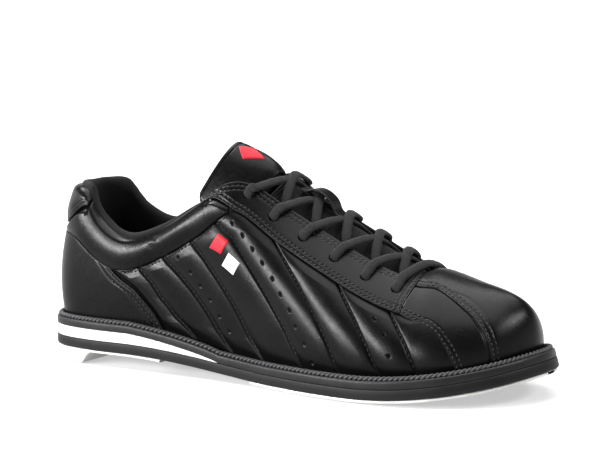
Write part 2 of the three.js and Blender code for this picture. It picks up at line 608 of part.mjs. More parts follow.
// ---------------------------------------------------------------- stitched marks
/** Lozenge centred on (u, w), slanted, reaching du and dw. */
function lozenge(u, w, du, dw) {
  return {
    na: 3, nt: 3, out: -0.1, into: -0.8,
    at: (a, t) => [u + du * (a + t - 1), w + dw * (t - a)],
  };
}
addPair('mark_red', lozenge(6.93, 0.635, 0.34, 0.06), 'red');
addPair('mark_white', lozenge(7.22, 0.515, 0.34, 0.06), 'thread');
for (const [name, t0, look] of [['tongue_mark_red', 0.4, 'red'], ['tongue_mark_white', 0.62, 'thread']]) {
  const spot = (a, t) => onFlap(0.45 + 0.2 * (a + t - 1), t0 + 0.1 * (t - a));
  add(name, freeSheet(3, 3, spot, 0.9, 0.3), look);
}

export default shoe;
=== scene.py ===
"""Right bowling shoe. Every piece is built in millimetres on the same last surface as the CAD
frame (+X to the toe, +Y to the inner side, +Z up) and turned into metres when it is made."""
import math

import bmesh
import bpy
import numpy as np
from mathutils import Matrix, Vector


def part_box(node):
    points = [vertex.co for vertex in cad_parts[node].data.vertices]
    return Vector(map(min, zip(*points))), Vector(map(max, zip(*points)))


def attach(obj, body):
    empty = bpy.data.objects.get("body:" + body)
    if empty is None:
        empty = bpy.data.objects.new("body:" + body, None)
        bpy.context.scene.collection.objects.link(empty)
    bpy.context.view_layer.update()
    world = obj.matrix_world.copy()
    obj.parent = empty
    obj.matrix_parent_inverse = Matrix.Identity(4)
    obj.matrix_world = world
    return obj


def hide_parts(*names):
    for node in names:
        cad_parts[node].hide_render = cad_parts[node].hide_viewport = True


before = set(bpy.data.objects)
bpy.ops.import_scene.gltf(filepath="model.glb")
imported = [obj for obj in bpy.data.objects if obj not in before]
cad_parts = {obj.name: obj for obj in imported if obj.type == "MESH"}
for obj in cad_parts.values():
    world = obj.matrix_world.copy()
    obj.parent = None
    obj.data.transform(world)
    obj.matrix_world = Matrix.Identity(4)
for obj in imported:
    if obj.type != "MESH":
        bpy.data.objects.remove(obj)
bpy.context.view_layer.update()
SOLE_LOW, SOLE_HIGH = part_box("outsole")
LENGTH = 302.0
MM = (SOLE_HIGH.x - SOLE_LOW.x) / LENGTH          # metres in a millimetre of the model
rng = np.random.default_rng(7)

# ------------------------------------------------------------------ camera
AZIMUTH, ELEVATION, DISTANCE = math.radians(29.88), math.radians(10.99), 1.2
PITCH, YAW = math.radians(3.625), math.radians(0.129)


def make_camera():
    back = Vector((math.sin(AZIMUTH) * math.cos(ELEVATION),
                   -math.cos(AZIMUTH) * math.cos(ELEVATION), math.sin(ELEVATION)))
    data = bpy.data.cameras.new("camera")
    data.sensor_width, data.lens = 36, 130.867
    data.clip_start, data.clip_end = 0.05, 20
    cam = bpy.data.objects.new("camera", data)
    bpy.context.scene.collection.objects.link(cam)
    cam.location = back * DISTANCE
    look = (-back).to_track_quat("-Z", "Y").to_matrix()
    right, up = look.col[0], look.col[1]
    aim = -back + up * math.tan(PITCH) + right * math.tan(YAW)
    cam.rotation_mode = "QUATERNION"
    cam.rotation_quaternion = aim.to_track_quat("-Z", "Y")
    bpy.context.scene.camera = cam


make_camera()

# ------------------------------------------------------------------ the last surface (mm)
HALF_L = LENGTH / 2
HEEL_LIFT, FORE_LIFT, SPRING, SPRING_X = 8.3, 1.8, 14.0, 60.0
RUBBER, WEDGE, WEDGE_TIP_X, WELT = 5.6, 6.0, -28.0, 4.4
SOLE = [
    (-151, 0), (-147, -17.5), (-135, -28.5), (-114, -33.8), (-90, -35), (-64, -35.5),
    (-38, -36.5), (-14, -39.5), (9, -45), (31, -50.5), (53, -53.7), (76, -53.8), (97, -50.5),
    (116, -44), (133, -33), (145, -16.5), (151, 3), (147.5, 21), (137.5, 35.5), (121, 46),
    (101, 52), (79, 54), (56, 52.3), (33, 47.5), (10, 41.5), (-14, 36.5), (-38, 34),
    (-64, 33.5), (-90, 34), (-114, 33.2), (-135, 27.5), (-147, 16.5)]
TOP = [
    (-139, 0, 99, 32, 9, 27, 80), (-135, -14, 99.5, 32, 10, 27, 80),
    (-122.5, -23.5, 97, 30, 8, 25, 80), (-109, -27, 81, 22, 5, 18, 80),
    (-92, -29.5, 73.3, 20, 5, 16, 80), (-70, -31, 80, 22, 5, 18, 76),
    (-47, -32, 93, 28, 6, 24, 70), (-26, -31, 106, 32, 7, 28, 60),
    (-12, -25, 106, 34, 9, 28, 48), (8, -20.5, 94, 32, 11, 26, 42),
    (34, -19, 80, 26, 13, 24, 36), (58, -17.5, 68, 22, 14, 22, 32),
    (77, -14, 61.3, 20, 13, 20, 25), (85, 3, 63.6, 18, 11, 26, 8),
    (104, 3, 59.2, 17, 8, 24, 7), (117, 3, 56.4, 16, 5, 20, 7), (124, 3, 54.6, 15, 4, 18, 6)]
INNER_RISE = (0, 0, 1, 3, 4, 4, 2, 0, -1.5, -1, 0, 0, 0, 0, 0, 0, 0)
AROUND, TIP, RIDGE = 32, 16, 13
MIRROR = 32.0


def arr(x):
    return np.asarray(x, float)


def unit(v):
    return v / np.maximum(np.linalg.norm(v, axis=-1, keepdims=True), 1e-12)


def smooth(t):
    t = np.clip(t, 0, 1)
    return t * t * (3 - 2 * t)


def catmull(a, b, c, d, t):
    return 0.5 * (2 * b + (c - a) * t + (2 * a - 5 * b + 4 * c - d) * t * t
                  + (3 * b - a - 3 * c + d) * t * t * t)


def run_length(p):
    """Length of a line of points up to each point."""
    return np.concatenate([[0], np.cumsum(np.linalg.norm(np.diff(p, axis=0), axis=1))])


def closed_spline(rows, s):
    s = arr(s)
    i = np.floor(s).astype(int)
    a, b, c, d = (rows[(i + k) % len(rows)] for k in (-1, 0, 1, 2))
    return catmull(a, b, c, d, (s - i)[..., None])


def open_spline(rows, s):
    rows, s = arr(rows), arr(s)
    n = len(rows)
    i = np.clip(np.floor(s).astype(int), 0, n - 2)
    a, b, c, d = (rows[np.clip(i + k, 0, n - 1)] for k in (-1, 0, 1, 2))
    return catmull(a, b, c, d, (s - i)[..., None])


def through(*knots):
    xs, ys = zip(*knots)
    return lambda x: np.interp(x, xs, ys)


middle_y = through((-60, 0), (60, 3))


def station_table():
    rows = []
    for i, edge in enumerate(SOLE):
        top = list(TOP[i if i <= TIP else AROUND - i])
        if i > TIP:
            top[1] = 2 * middle_y(top[0]) - top[1]
            top[2] += INNER_RISE[AROUND - i]
        rows.append(list(edge) + top)
    return arr(rows)


STATIONS = station_table()


def station(u):
    return closed_spline(STATIONS, u)


def rubber_bottom(x):
    x = arr(x)
    rise = np.where(x > SPRING_X, SPRING * ((x - SPRING_X) / (HALF_L - SPRING_X)) ** 2, 0)
    return HEEL_LIFT + (FORE_LIFT - HEEL_LIFT) * smooth((x + 92) / 104) + rise


def wedge_at(x):
    return WEDGE * np.clip((WEDGE_TIP_X - arr(x)) / 60, 0, 1) ** 0.7


def welt_top(x):
    return RUBBER + wedge_at(x) + WELT


def in_stack(x, y, h):
    """Point h above the underside of the rubber layer, square to its slope."""
    x, y, h = np.broadcast_arrays(arr(x), arr(y), arr(h))
    s = rubber_bottom(x + 0.5) - rubber_bottom(x - 0.5)
    c = 1 / np.hypot(1, s)
    return np.stack([x - h * s * c, y, rubber_bottom(x) + h * c], -1)


def edge_at(u, d=0.0):
    """Sole edge at station u moved in by d, and its outward direction."""
    p = station(u)[..., :2]
    t = station(arr(u) + 1e-3)[..., :2] - station(arr(u) - 1e-3)[..., :2]
    n = unit(np.stack([t[..., 1], -t[..., 0]], -1))
    return p - arr(d)[..., None] * n, n


def skin(u, w):
    """Point of the upper at station u (0..32) and height fraction w (0 sole, 1 top line)."""
    u, w = np.broadcast_arrays(arr(u), arr(w))
    r = station(u)
    v32 = u % AROUND
    fold = np.minimum(v32, AROUND - v32)
    arc = np.clip(fold - 12, 0, 1)                       # round front of the throat
    on_arc = (fold > 12) & (fold < RIDGE)
    tx = np.where(on_arc, 77 + 8 * np.sin(np.pi / 2 * arc), r[..., 2])
    ty = np.where(on_arc, middle_y(tx) + np.where(v32 < TIP, -17, 17) * (1 - arc), r[..., 3])
    ty = np.where(fold >= RIDGE, middle_y(tx), ty)
    edge, n = edge_at(u)
    foot, _ = edge_at(u, 5 + 1.5 * np.clip((edge[..., 0] + 140) / 50, 0, 1))
    p0 = in_stack(foot[..., 0], foot[..., 1], welt_top(foot[..., 0]) + 0.4)
    p3 = np.stack([tx, ty, r[..., 4]], -1)
    out = np.concatenate([n, np.zeros(n.shape[:-1] + (1,))], -1)
    up = arr([0, 0, 1])
    reach0, lean, reach1, fall = r[..., 5], np.radians(r[..., 6]), r[..., 7], np.radians(r[..., 8])
    p1 = p0 + (reach0 * np.sin(lean))[..., None] * out + (reach0 * np.cos(lean))[..., None] * up
    p2 = p3 + (reach1 * np.cos(fall))[..., None] * out - (reach1 * np.sin(fall))[..., None] * up
    # across the ridge of the toe the surface is level, along it it falls as the ridge does
    f = np.maximum(fold, RIDGE + 0.06)
    ahead, behind = station(f), station(f - 0.05)
    slope = (ahead[..., 4] - behind[..., 4]) / (ahead[..., 2] - behind[..., 2])
    level = p3 + reach1[..., None] * (out + (slope * out[..., 0])[..., None] * up)
    crest = smooth((fold - 11.9) / 1.5)[..., None]
    p2 = p2 * (1 - crest) + level * crest
    w, v = w[..., None], 1 - w[..., None]
    p = v ** 3 * p0 + 3 * v * v * w * p1 + 3 * v * w * w * p2 + w ** 3 * p3
    return p


def plain_normal(u, w):
    e = 1e-3
    return unit(np.cross(skin(u + e, w) - skin(u - e, w), skin(u, w + e) - skin(u, w - e)))


def skin_normal(u, w):
    u, w = np.broadcast_arrays(arr(u), arr(w))
    v = u % AROUND
    top = 0.995 - 0.045 * smooth((np.minimum(v, AROUND - v) - 14.6) / 0.8)
    n = plain_normal(u, np.minimum(w, top))
    on = (v >= RIDGE - 0.5) & (v <= AROUND - RIDGE + 0.5)
    share = 0.5 * np.where(on, smooth((w - 0.86) / 0.14), 0)[..., None]
    if share.any():
        n = unit(n * (1 - share) + share * plain_normal(AROUND - v, np.minimum(w, top)))
    return n


def on_skin(u, w, d=0.0):
    return skin(u, w) + skin_normal(u, w) * arr(d)[..., None]


# ------------------------------------------------------------------ seam lines (u -> w)
# QUILT_SEAMS and PUNCHED are the printed output of a helper program, and cap_back, eyestay_front,
# EYELETS, eyestay_low, collar_low, vamp_back, vamp_back_w, counter_end and the places in TOP come
# from such output with small changes. That rule wasn't kept: report.md has a section on it.
TWO_ROWS, BACK_ROWS = (1.4, 3.8), (-1.3, -3.7)     # stitch lines beside an edge
quarter_top = through((3.2, 0.61), (4, 0.62), (4.8, 0.71), (5.7, 0.77), (6.5, 0.8), (7.1, 0.84),
                      (7.85, 0.84), (9, 0.77), (9.9, 0.735), (10.8, 0.69), (11.8, 0.62), (12.5, 0.6))
eyestay_low = through((6.6, 0.955), (6.8, 0.925), (7.1, 0.87), (7.5, 0.82), (7.85, 0.795),
                      (9, 0.72), (9.9, 0.684), (10.8, 0.636), (11.9, 0.565))
collar_low = through((0, 0.645), (1, 0.63), (2, 0.615), (3, 0.605), (3.6, 0.585), (4, 0.59),
                     (4.8, 0.67), (5.7, 0.73), (6.5, 0.756), (7.1, 0.79), (7.35, 0.805))
tab_low = through((0, 0.675), (1, 0.69), (1.6, 0.77), (2.1, 0.89), (2.3, 0.94))
cap_back = through((0, 14.3), (0.185, 14.2), (0.334, 14.04), (0.495, 13.79), (0.623, 13.41),
                   (0.722, 12.87), (0.80, 12.45), (0.88, 12.14), (1, 12.05))
vamp_back = through((0, 13.25), (0.25, 13.0), (0.5, 12.72), (0.75, 12.27), (1, 11.74))
vamp_back_w = through((0, 0), (0.25, 0.2), (0.5, 0.35), (0.75, 0.47), (1, 0.585))
vamp_front_w = through((0, 0), (0.2, 0.185), (0.4, 0.37), (0.6, 0.56), (0.8, 0.74), (1, 0.9))
counter_end = through((0, 4.85), (0.25, 4.65), (0.65, 4.2), (1, 3.5))
EYELETS = ((8.0, 0.915), (8.77, 0.87), (9.48, 0.855), (10.18, 0.835), (10.91, 0.815), (11.7, 0.8))


def eased(f, lo, hi, n=97, width=0.045):
    """The seam line f with its corners rounded off."""
    xs = np.linspace(lo, hi, n)
    k = np.exp(-0.5 * (np.linspace(-3, 3, 13)) ** 2)
    k /= k.sum()
    step = max(1, int(round(width * n / 6)))
    pad = 6 * step
    ys = f(xs)
    left = 2 * ys[0] - ys[1:pad + 1][::-1]
    right = 2 * ys[-1] - ys[-pad - 1:-1][::-1]
    full = np.concatenate([left, ys, right])
    out = sum(k[j] * full[j * step:j * step + n] for j in range(13))
    return lambda x: np.interp(x, xs, out)


eyestay_low = eased(eyestay_low, 6.5, 12.0)
collar_low = eased(collar_low, 0, 7.4)
tab_low = eased(tab_low, 0, 2.35)
cap_back = eased(cap_back, 0, 1)
vamp_back = eased(vamp_back, 0, 1)
vamp_back_w = eased(vamp_back_w, 0, 1)
vamp_front_w = eased(vamp_front_w, 0, 1)
counter_end = eased(counter_end, 0, 1)

# ------------------------------------------------------------------ quilting of the quarters
QUILT_SEAMS = [
    ((4.39, .617), (4.68, .452), (4.86, .300), (5.17, .148), (5.53, .040)),
    ((5.10, .707), (5.54, .482), (5.90, .294), (6.21, .130), (6.45, .055)),
    ((6.02, .723), (6.30, .591), (6.52, .474), (6.89, .286), (7.18, .118), (7.42, .033)),
    ((6.88, .755), (7.37, .655), (7.82, .502), (8.13, .371), (8.42, .222), (8.71, .033)),
    ((8.97, .667), (9.27, .527), (9.52, .378), (9.75, .200), (9.86, .059)),
    ((10.36, .631), (10.62, .438), (10.87, .185), (11.00, .071)),
    ((11.55, .584), (11.82, .342), (12.06, .062)),
]
PUNCHED = [
    ((5.60, .646), (5.89, .516), (6.08, .414), (6.28, .324), (6.44, .225), (6.66, .141)),
    ((7.52, .735), (7.90, .666), (8.17, .603), (8.41, .545), (8.62, .476), (8.74, .401),
     (8.90, .327), (8.96, .244), (9.11, .154), (9.21, .050)),
    ((11.16, .478), (11.35, .361), (11.42, .193)),
]
BASE = -1.3


def seam_u(k, w):
    """Station of quilt seam k at height w, carried on straight beyond its ends."""
    us, ws = arr(QUILT_SEAMS[k]).T
    order = np.argsort(ws)
    us, ws = us[order], ws[order]
    slope0 = (us[1] - us[0]) / (ws[1] - ws[0])
    slope1 = (us[-1] - us[-2]) / (ws[-1] - ws[-2])
    ws = np.concatenate([[-0.3], ws, [1.2]])
    us = np.concatenate([[us[0] + slope0 * (-0.3 - ws[1])], us, [us[-1] + slope1 * (1.2 - ws[-2])]])
    return np.interp(w, ws, us)


def channel(u, w):
    """How far a quilted channel stands out of its seams, 0..1, and distance to a seam in mm."""
    seams = np.stack([seam_u(k, w) for k in range(len(QUILT_SEAMS))])
    lines = np.concatenate([seams[:1] - 1.3, seams, seams[-1:] + 1.6])
    rise = np.zeros_like(u)
    for a, b in zip(lines[:-1], lines[1:]):
        c = (u - a) / np.maximum(b - a, 1e-6)
        on = (c >= 0) & (c < 1)
        rise = np.where(on, 1 - np.abs(2 * np.clip(c, 0, 1) - 1) ** 2.3, rise)
    gap = np.abs(u - seams).min(axis=0) * 19.0
    return rise, gap


def quilt(u, w):
    """Height of the quarter's face above the last surface."""
    rise, gap = channel(u, w)
    top = np.clip((quarter_top(u) - 0.045 - w) * 75 / 7, 0, 1) ** 0.6
    foot = np.clip(w * 62 / 6, 0, 1) ** 0.6
    back = np.clip((u - counter_end(np.clip(w / 0.6, 0, 1)) - 0.02) * 22 / 6, 0, 1) ** 0.6
    return BASE + 1.9 * rise * top * foot * back - 0.8 * np.exp(-(gap / 0.8) ** 2)


# ------------------------------------------------------------------ materials
class Look:
    """A Principled material with helpers for the textures that vary over it."""

    def __init__(self, name, roughness=0.5, **fixed):
        self.mat = bpy.data.materials.new(name)
        self.mat.use_nodes = True
        self.tree = self.mat.node_tree
        self.bsdf = self.tree.nodes["Principled BSDF"]
        self.bsdf.inputs["Roughness"].default_value = roughness
        for key, value in fixed.items():
            self.bsdf.inputs[key.replace("_", " ")].default_value = value
        self.normal = None

    def node(self, kind, **settings):
        n = self.tree.nodes.new(kind)
        for key, value in settings.items():
            if key in n.inputs and not hasattr(type(n), key):
                n.inputs[key].default_value = value
            else:
                setattr(n, key, value)
        return n

    def link(self, a, b):
        self.tree.links.new(a, b)

    def place(self, scale=(1, 1, 1), uv=None):
        """Coordinates in millimetres: the object's own, or the mesh's flattened pattern."""
        source = self.node("ShaderNodeUVMap", uv_map=uv).outputs["UV"] if uv else \
            self.node("ShaderNodeTexCoord").outputs["Object"]
        m = self.node("ShaderNodeMapping")
        m.inputs["Scale"].default_value = [s * (1 if uv else 1000) for s in scale]
        self.link(source, m.inputs["Vector"])
        return m.outputs["Vector"]

    def noise(self, size, detail=3, rough=0.55, coords=None):
        n = self.node("ShaderNodeTexNoise")
        n.inputs["Scale"].default_value = 1 / size
        n.inputs["Detail"].default_value = detail
        n.inputs["Roughness"].default_value = rough
        self.link(coords or self.place(), n.inputs["Vector"])
        return n.outputs["Fac"]

    def cells(self, size, feature="DISTANCE_TO_EDGE", coords=None):
        n = self.node("ShaderNodeTexVoronoi", feature=feature)
        n.inputs["Scale"].default_value = 1 / size
        self.link(coords or self.place(), n.inputs["Vector"])
        return n.outputs["Distance"]

    def waves(self, size, direction, coords, distort=0.0):
        n = self.node("ShaderNodeTexWave", wave_type="BANDS", bands_direction=direction,
                      wave_profile="SIN")
        n.inputs["Scale"].default_value = 0.314 / size * 10 / math.pi * 0.5
        n.inputs["Distortion"].default_value = distort
        self.link(coords, n.inputs["Vector"])
        return n.outputs["Fac"]

    def attribute(self, name):
        return self.node("ShaderNodeAttribute", attribute_name=name).outputs["Fac"]

    def math(self, op, a, b=None):
        n = self.node("ShaderNodeMath", operation=op)
        for i, v in enumerate((a, b)):
            if v is None:
                continue
            if isinstance(v, (int, float)):
                n.inputs[i].default_value = v
            else:
                self.link(v, n.inputs[i])
        return n.outputs[0]

    def span(self, value, lo, hi, out_lo, out_hi):
        n = self.node("ShaderNodeMapRange")
        for i, v in zip((1, 2, 3, 4), (lo, hi, out_lo, out_hi)):
            n.inputs[i].default_value = v
        self.link(value, n.inputs[0])
        return n.outputs[0]

    def ramp(self, value, *stops):
        n = self.node("ShaderNodeValToRGB")
        r = n.color_ramp
        while len(r.elements) < len(stops):
            r.elements.new(0.5)
        for e, (pos, col) in zip(r.elements, stops):
            e.position, e.color = pos, (*col, 1)
        self.link(value, n.inputs["Fac"])
        return n.outputs["Color"]

    def blend(self, fac, a, b):
        n = self.node("ShaderNodeMix", data_type="RGBA", blend_type="MIX")
        for key, v in zip((0, 6, 7), (fac, a, b)):
            if isinstance(v, (int, float)):
                n.inputs[key].default_value = v
            elif isinstance(v, tuple):
                n.inputs[key].default_value = (*v, 1)
            else:
                self.link(v, n.inputs[key])
        return n.outputs[2]

    def colour(self, value):
        self.link(value, self.bsdf.inputs["Base Color"])

    def rough(self, value):
        self.link(value, self.bsdf.inputs["Roughness"])

    def bump(self, height, depth_mm, strength=1.0):
        n = self.node("ShaderNodeBump")
        n.inputs["Strength"].default_value = strength
        n.inputs["Distance"].default_value = depth_mm * 0.001
        self.link(height, n.inputs["Height"])
        if self.normal:
            self.link(self.normal, n.inputs["Normal"])
        self.normal = n.outputs["Normal"]
        self.link(self.normal, self.bsdf.inputs["Normal"])


def leather(name, tone=0.003, gloss=0.31, grain=1.0):
    k = Look(name, Specular_IOR_Level=0.15)
    broad = k.noise(22, 4)
    fine = k.noise(2.2, 5, 0.7)
    edge = k.attribute("edge")
    hole = k.attribute("hole")
    t = arr([1.0, 1.0, 1.06]) * tone
    base = k.ramp(broad, (0.25, tuple(t * 0.75)), (0.75, tuple(t * 1.35)))
    worn = k.blend(k.math("MULTIPLY", edge, 0.5), base, (0.022, 0.022, 0.023))
    # painted shade: the leather goes near-black in the punched holes, the eyelets and along the
    # stitched quilting grooves
    k.colour(k.blend(hole, worn, (0.0015, 0.0015, 0.0015)))
    r = k.span(fine, 0.3, 0.7, gloss - 0.05, gloss + 0.06)
    r = k.math("ADD", r, k.math("MULTIPLY", k.math("SUBTRACT", broad, 0.5), 0.16))
    k.rough(k.math("ADD", r, k.math("MULTIPLY", hole, 0.4)))
    k.bump(k.noise(9, 3, 0.5), 0.16, 0.35)
    k.bump(k.span(k.cells(0.85), 0.0, 0.22, 0, 1), 0.035, 0.35 * grain)
    k.bump(k.cells(0.32, "F1"), 0.02, 0.25 * grain)
    return k.mat


def woven(name, dark, light, pitch=0.9, depth=0.12, uv="cloth", sheen=0.06):
    """Knitted or woven cloth laid out on its own flattened pattern."""
    k = Look(name, 0.85, Sheen_Weight=sheen, Sheen_Roughness=0.5, Specular_IOR_Level=0.12)
    flat = k.place(uv=uv)
    a = k.waves(pitch, "X", flat, 0.6)
    b = k.waves(pitch, "Y", flat, 0.6)
    cross = k.math("MULTIPLY", a, b)
    fuzz = k.noise(0.5, 4, 0.7)
    h = k.math("ADD", cross, k.math("MULTIPLY", fuzz, 0.35))
    patch = k.noise(14, 3)
    tint = k.ramp(h, (0.1, dark), (0.9, light))
    k.colour(k.blend(k.span(patch, 0.3, 0.7, 0.0, 0.35), tint, tuple(arr(dark) * 0.8)))
    k.rough(k.span(fuzz, 0.3, 0.7, 0.78, 0.95))
    k.bump(h, depth, 0.8)
    return k.mat


def rubber(name, low, high, gloss=0.5, streak=(0.3, 0.3, 6.0), scuff=0.25, depth=0.05):
    k = Look(name, gloss, Specular_IOR_Level=0.18)
    n = k.noise(1.0, 5, 0.6, k.place(streak))
    wide = k.noise(12, 4)
    edge = k.attribute("edge")
    c = k.ramp(wide, (0.25, low), (0.75, high))
    light = tuple(arr(high) * 1.8 + 0.03)
    c = k.blend(k.math("MULTIPLY", k.span(n, 0.52, 0.8, 0, 1), scuff), c, light)
    k.colour(k.blend(k.math("MULTIPLY", edge, 0.4), c, light))
    k.rough(k.span(n, 0.3, 0.7, gloss - 0.08, gloss + 0.1))
    k.bump(n, depth, 0.5)
    k.bump(k.noise(0.6, 3, 0.6), 0.03, 0.4)
    return k.mat


def pale(name, low, high, gloss=0.45, dirt=(0.5, 0.48, 0.44)):
    k = Look(name, gloss, Specular_IOR_Level=0.5, Subsurface_Weight=0.05, Subsurface_Scale=0.002)
    wide = k.noise(18, 5)
    fine = k.noise(1.4, 4, 0.65)
    c = k.ramp(wide, (0.3, low), (0.7, high))
    k.colour(k.blend(k.span(k.noise(7, 6, 0.7), 0.6, 0.85, 0.0, 0.22), c, dirt))
    k.rough(k.span(fine, 0.3, 0.7, gloss - 0.06, gloss + 0.08))
    k.bump(fine, 0.04, 0.4)
    return k.mat


def thread(name, low, high, gloss=0.5, sheen=0.05):
    """Sewing thread: uneven in tone, with a fine rough surface."""
    k = Look(name, gloss, Sheen_Weight=sheen, Specular_IOR_Level=0.25)
    n = k.noise(0.35, 4, 0.7)
    k.colour(k.ramp(n, (0.3, low), (0.72, high)))
    k.rough(k.span(n, 0.3, 0.7, gloss - 0.1, gloss + 0.15))
    k.bump(n, 0.06, 0.8)
    return k.mat


def plies(name, dark, light, along=1.0, gloss=0.75):
    """Braid of the laces, on the strand's own pattern: x round it, y along it, in mm."""
    k = Look(name, gloss, Sheen_Weight=0.06, Sheen_Roughness=0.45, Specular_IOR_Level=0.15)
    flat = k.place(uv="cloth")
    swap = k.node("ShaderNodeMapping")
    swap.inputs["Rotation"].default_value = (0, 0, math.radians(38))
    k.link(flat, swap.inputs["Vector"])
    back = k.node("ShaderNodeMapping")
    back.inputs["Rotation"].default_value = (0, 0, math.radians(-38))
    k.link(flat, back.inputs["Vector"])
    a = k.waves(along, "X", swap.outputs[0], 0.3)
    b = k.waves(along, "X", back.outputs[0], 0.3)
    h = k.math("MAXIMUM", a, b)
    fuzz = k.noise(0.4, 4, 0.7)
    h = k.math("ADD", k.math("MULTIPLY", h, 0.7), k.math("MULTIPLY", fuzz, 0.4))
    k.colour(k.ramp(h, (0.2, dark), (0.95, light)))
    k.rough(k.span(fuzz, 0.3, 0.7, gloss - 0.1, gloss + 0.15))
    k.bump(h, 0.14, 0.9)
    return k.mat


def grey(v, tint=(1, 1, 1.05)):
    return tuple(float(v) * t for t in tint)


LEATHER = leather("black_leather")
PAD_LEATHER = leather("padded_leather", 0.003, 0.29, 0.8)
CLOTH = woven("lining_knit", grey(0.004), grey(0.018), 0.8, 0.14)
MESH = woven("ribbed_tongue_cloth", grey(0.005), grey(0.024), 0.7, 0.10)
SOCK = woven("sock_cloth", grey(0.004), grey(0.014), 1.1, 0.12)
LACE = plies("lace_braid", grey(0.004), grey(0.020))
STITCH = thread("seam_thread", grey(0.004), grey(0.022), 0.42)
ROPE = thread("welt_yarn", grey(0.008), grey(0.075), 0.5)
RUBBER_BLACK = rubber("black_rubber", grey(0.005), grey(0.009), 0.5, scuff=0.06)
WELT_GREY = rubber("welt_strip", grey(0.009), grey(0.015), 0.42, streak=(1.6, 1.6, 0.4), scuff=0.12)
WHITE_FOAM = pale("white_midsole", grey(0.42, (1, 1, .98)), grey(0.50, (1, 1, .98)), 0.5)
WHITE_HARD = pale("white_heel", grey(0.38, (1, 1, .98)), grey(0.48, (1, 1, .98)), 0.38)
BOARD = rubber("fibre_board", (0.20, 0.15, 0.09), (0.30, 0.24, 0.15), 0.9, streak=(1, 1, 1))
PLASTIC = rubber("aglet_film", grey(0.01), grey(0.016), 0.25, streak=(0.2, 2, 2), scuff=0.05)
RED = thread("red_embroidery", (0.20, 0.003, 0.010), (0.34, 0.010, 0.024), 0.45)
WHITE_THREAD = thread("white_embroidery", (0.40, 0.40, 0.40), (0.58, 0.58, 0.58), 0.45)

# ------------------------------------------------------------------ meshes
def build(name, verts, faces, look, body="shoe", slot=None, replaces=(), uv=None, marks=None,
          weld=0.0):
    """One piece from vertices in millimetres and faces of three or four corners."""
    me = bpy.data.meshes.new(name)
    if isinstance(faces, np.ndarray):
        keep = faces != np.roll(faces, -1, 1)             # a corner met twice makes a triangle
        keep &= (keep.sum(1) > 2)[:, None]
        corners = keep.sum(1)[keep.any(1)]
        me.vertices.add(len(verts))
        me.vertices.foreach_set("co", (arr(verts) * MM).ravel())
        me.loops.add(int(corners.sum()))
        me.loops.foreach_set("vertex_index", faces[keep].astype(np.int32))
        me.polygons.add(len(corners))
        me.polygons.foreach_set("loop_start",
                                (np.cumsum(corners) - corners).astype(np.int32))
    else:
        me.from_pydata([tuple(v) for v in arr(verts) * MM], [], faces)
    me.update(calc_edges=True)
    if uv is not None:
        layer = me.uv_layers.new(name="cloth")
        index = np.zeros(len(me.loops), np.int32)
        me.loops.foreach_get("vertex_index", index)
        layer.data.foreach_set("uv", arr(uv)[index].astype(np.float32).ravel())
    for key, values in (marks or {}).items():
        me.attributes.new(key, "FLOAT", "POINT").data.foreach_set(
            "value", arr(values).astype(np.float32).ravel())
    bm = bmesh.new()
    bm.from_mesh(me)
    if weld:
        bmesh.ops.remove_doubles(bm, verts=bm.verts, dist=weld * MM)
    bmesh.ops.dissolve_degenerate(bm, edges=bm.edges, dist=1e-7)
    bm.to_mesh(me)
    bm.free()
    me.validate()
    me.polygons.foreach_set("use_smooth", np.full(len(me.polygons), True))
    me.materials.append(look)
    obj = bpy.data.objects.new(name, me)
    bpy.context.scene.collection.objects.link(obj)
    if body:
        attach(obj, body)
    if replaces:
        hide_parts(*replaces)
    return obj


def grid_faces(na, nt, start=0, flip=False, wrap_a=False, wrap_t=False):
    """Quads of a grid of na x nt points numbered row by row."""
    i = np.arange(na if wrap_a else na - 1)[:, None]
    j = np.arange(nt if wrap_t else nt - 1)[None]
    i2, j2 = (i + 1) % na, (j + 1) % nt
    q = np.stack(np.broadcast_arrays(i * nt + j, i2 * nt + j, i2 * nt + j2, i * nt + j2), -1)
    q = q.reshape(-1, 4) + start
    return q[:, ::-1] if flip else q


def plain(faces):
    """Faces as the lists of plain numbers that from_pydata takes."""
    return [list(map(int, f)) for f in faces]


def closed_sheet(outer, inner, flip=False, joined=None):
    """Faces closing two grids of the same size, the outer one facing out. `joined` marks the
    points of the last edge that lie against each other and need no rim."""
    na, nt = outer.shape[:2]
    n = na * nt
    ids = np.arange(n).reshape(na, nt)
    last = ids[:, -1]
    last = np.stack([last[:-1], last[1:]], -1)
    if joined is not None:
        last = last[~(joined[:-1] & joined[1:])]
    faces = [grid_faces(na, nt), grid_faces(na, nt, n, True)]
    for r in (ids[:, 0][::-1], ids[0], ids[-1][::-1]):
        faces.append(np.stack([r[:-1], r[1:], r[1:] + n, r[:-1] + n], -1))
    faces.append(np.stack([last[:, 0], last[:, 1], last[:, 1] + n, last[:, 0] + n], -1))
    q = np.concatenate(faces)
    return np.concatenate([outer.reshape(-1, 3), inner.reshape(-1, 3)]), q[:, ::-1] if flip else q


STEPS = arr([0, 0.1, 0.32, 0.62, 1.0])     # rounded cut edge, in radii of the edge


def fractions(n, length, lip0, lip1, lines0=(), lines1=()):
    """Fractions across each length: crowded at both edges and at stitch lines beside them."""
    def head(lip, lines):
        d = list(STEPS * lip)
        for s in lines:
            d += [s - 0.55, s - 0.2, s + 0.2, s + 0.55]
        d = sorted(x for x in d if x >= 0)
        return arr([x for i, x in enumerate(d) if i == 0 or x - d[i - 1] > 0.03])
    a, b = head(lip0, lines0), head(lip1, lines1)
    length = np.maximum(arr(length), 1e-3)
    reach = (a[-1] + b[-1]) / length
    squeeze = np.where(reach > 0.8, 0.8 / reach, 1.0)
    a, b = a[:, None] / length * squeeze, 1 - b[::-1, None] / length * squeeze
    mid = np.linspace(0, 1, n)[1:-1, None] * (b[0] - a[-1]) + a[-1]
    return np.concatenate([a, mid, b])


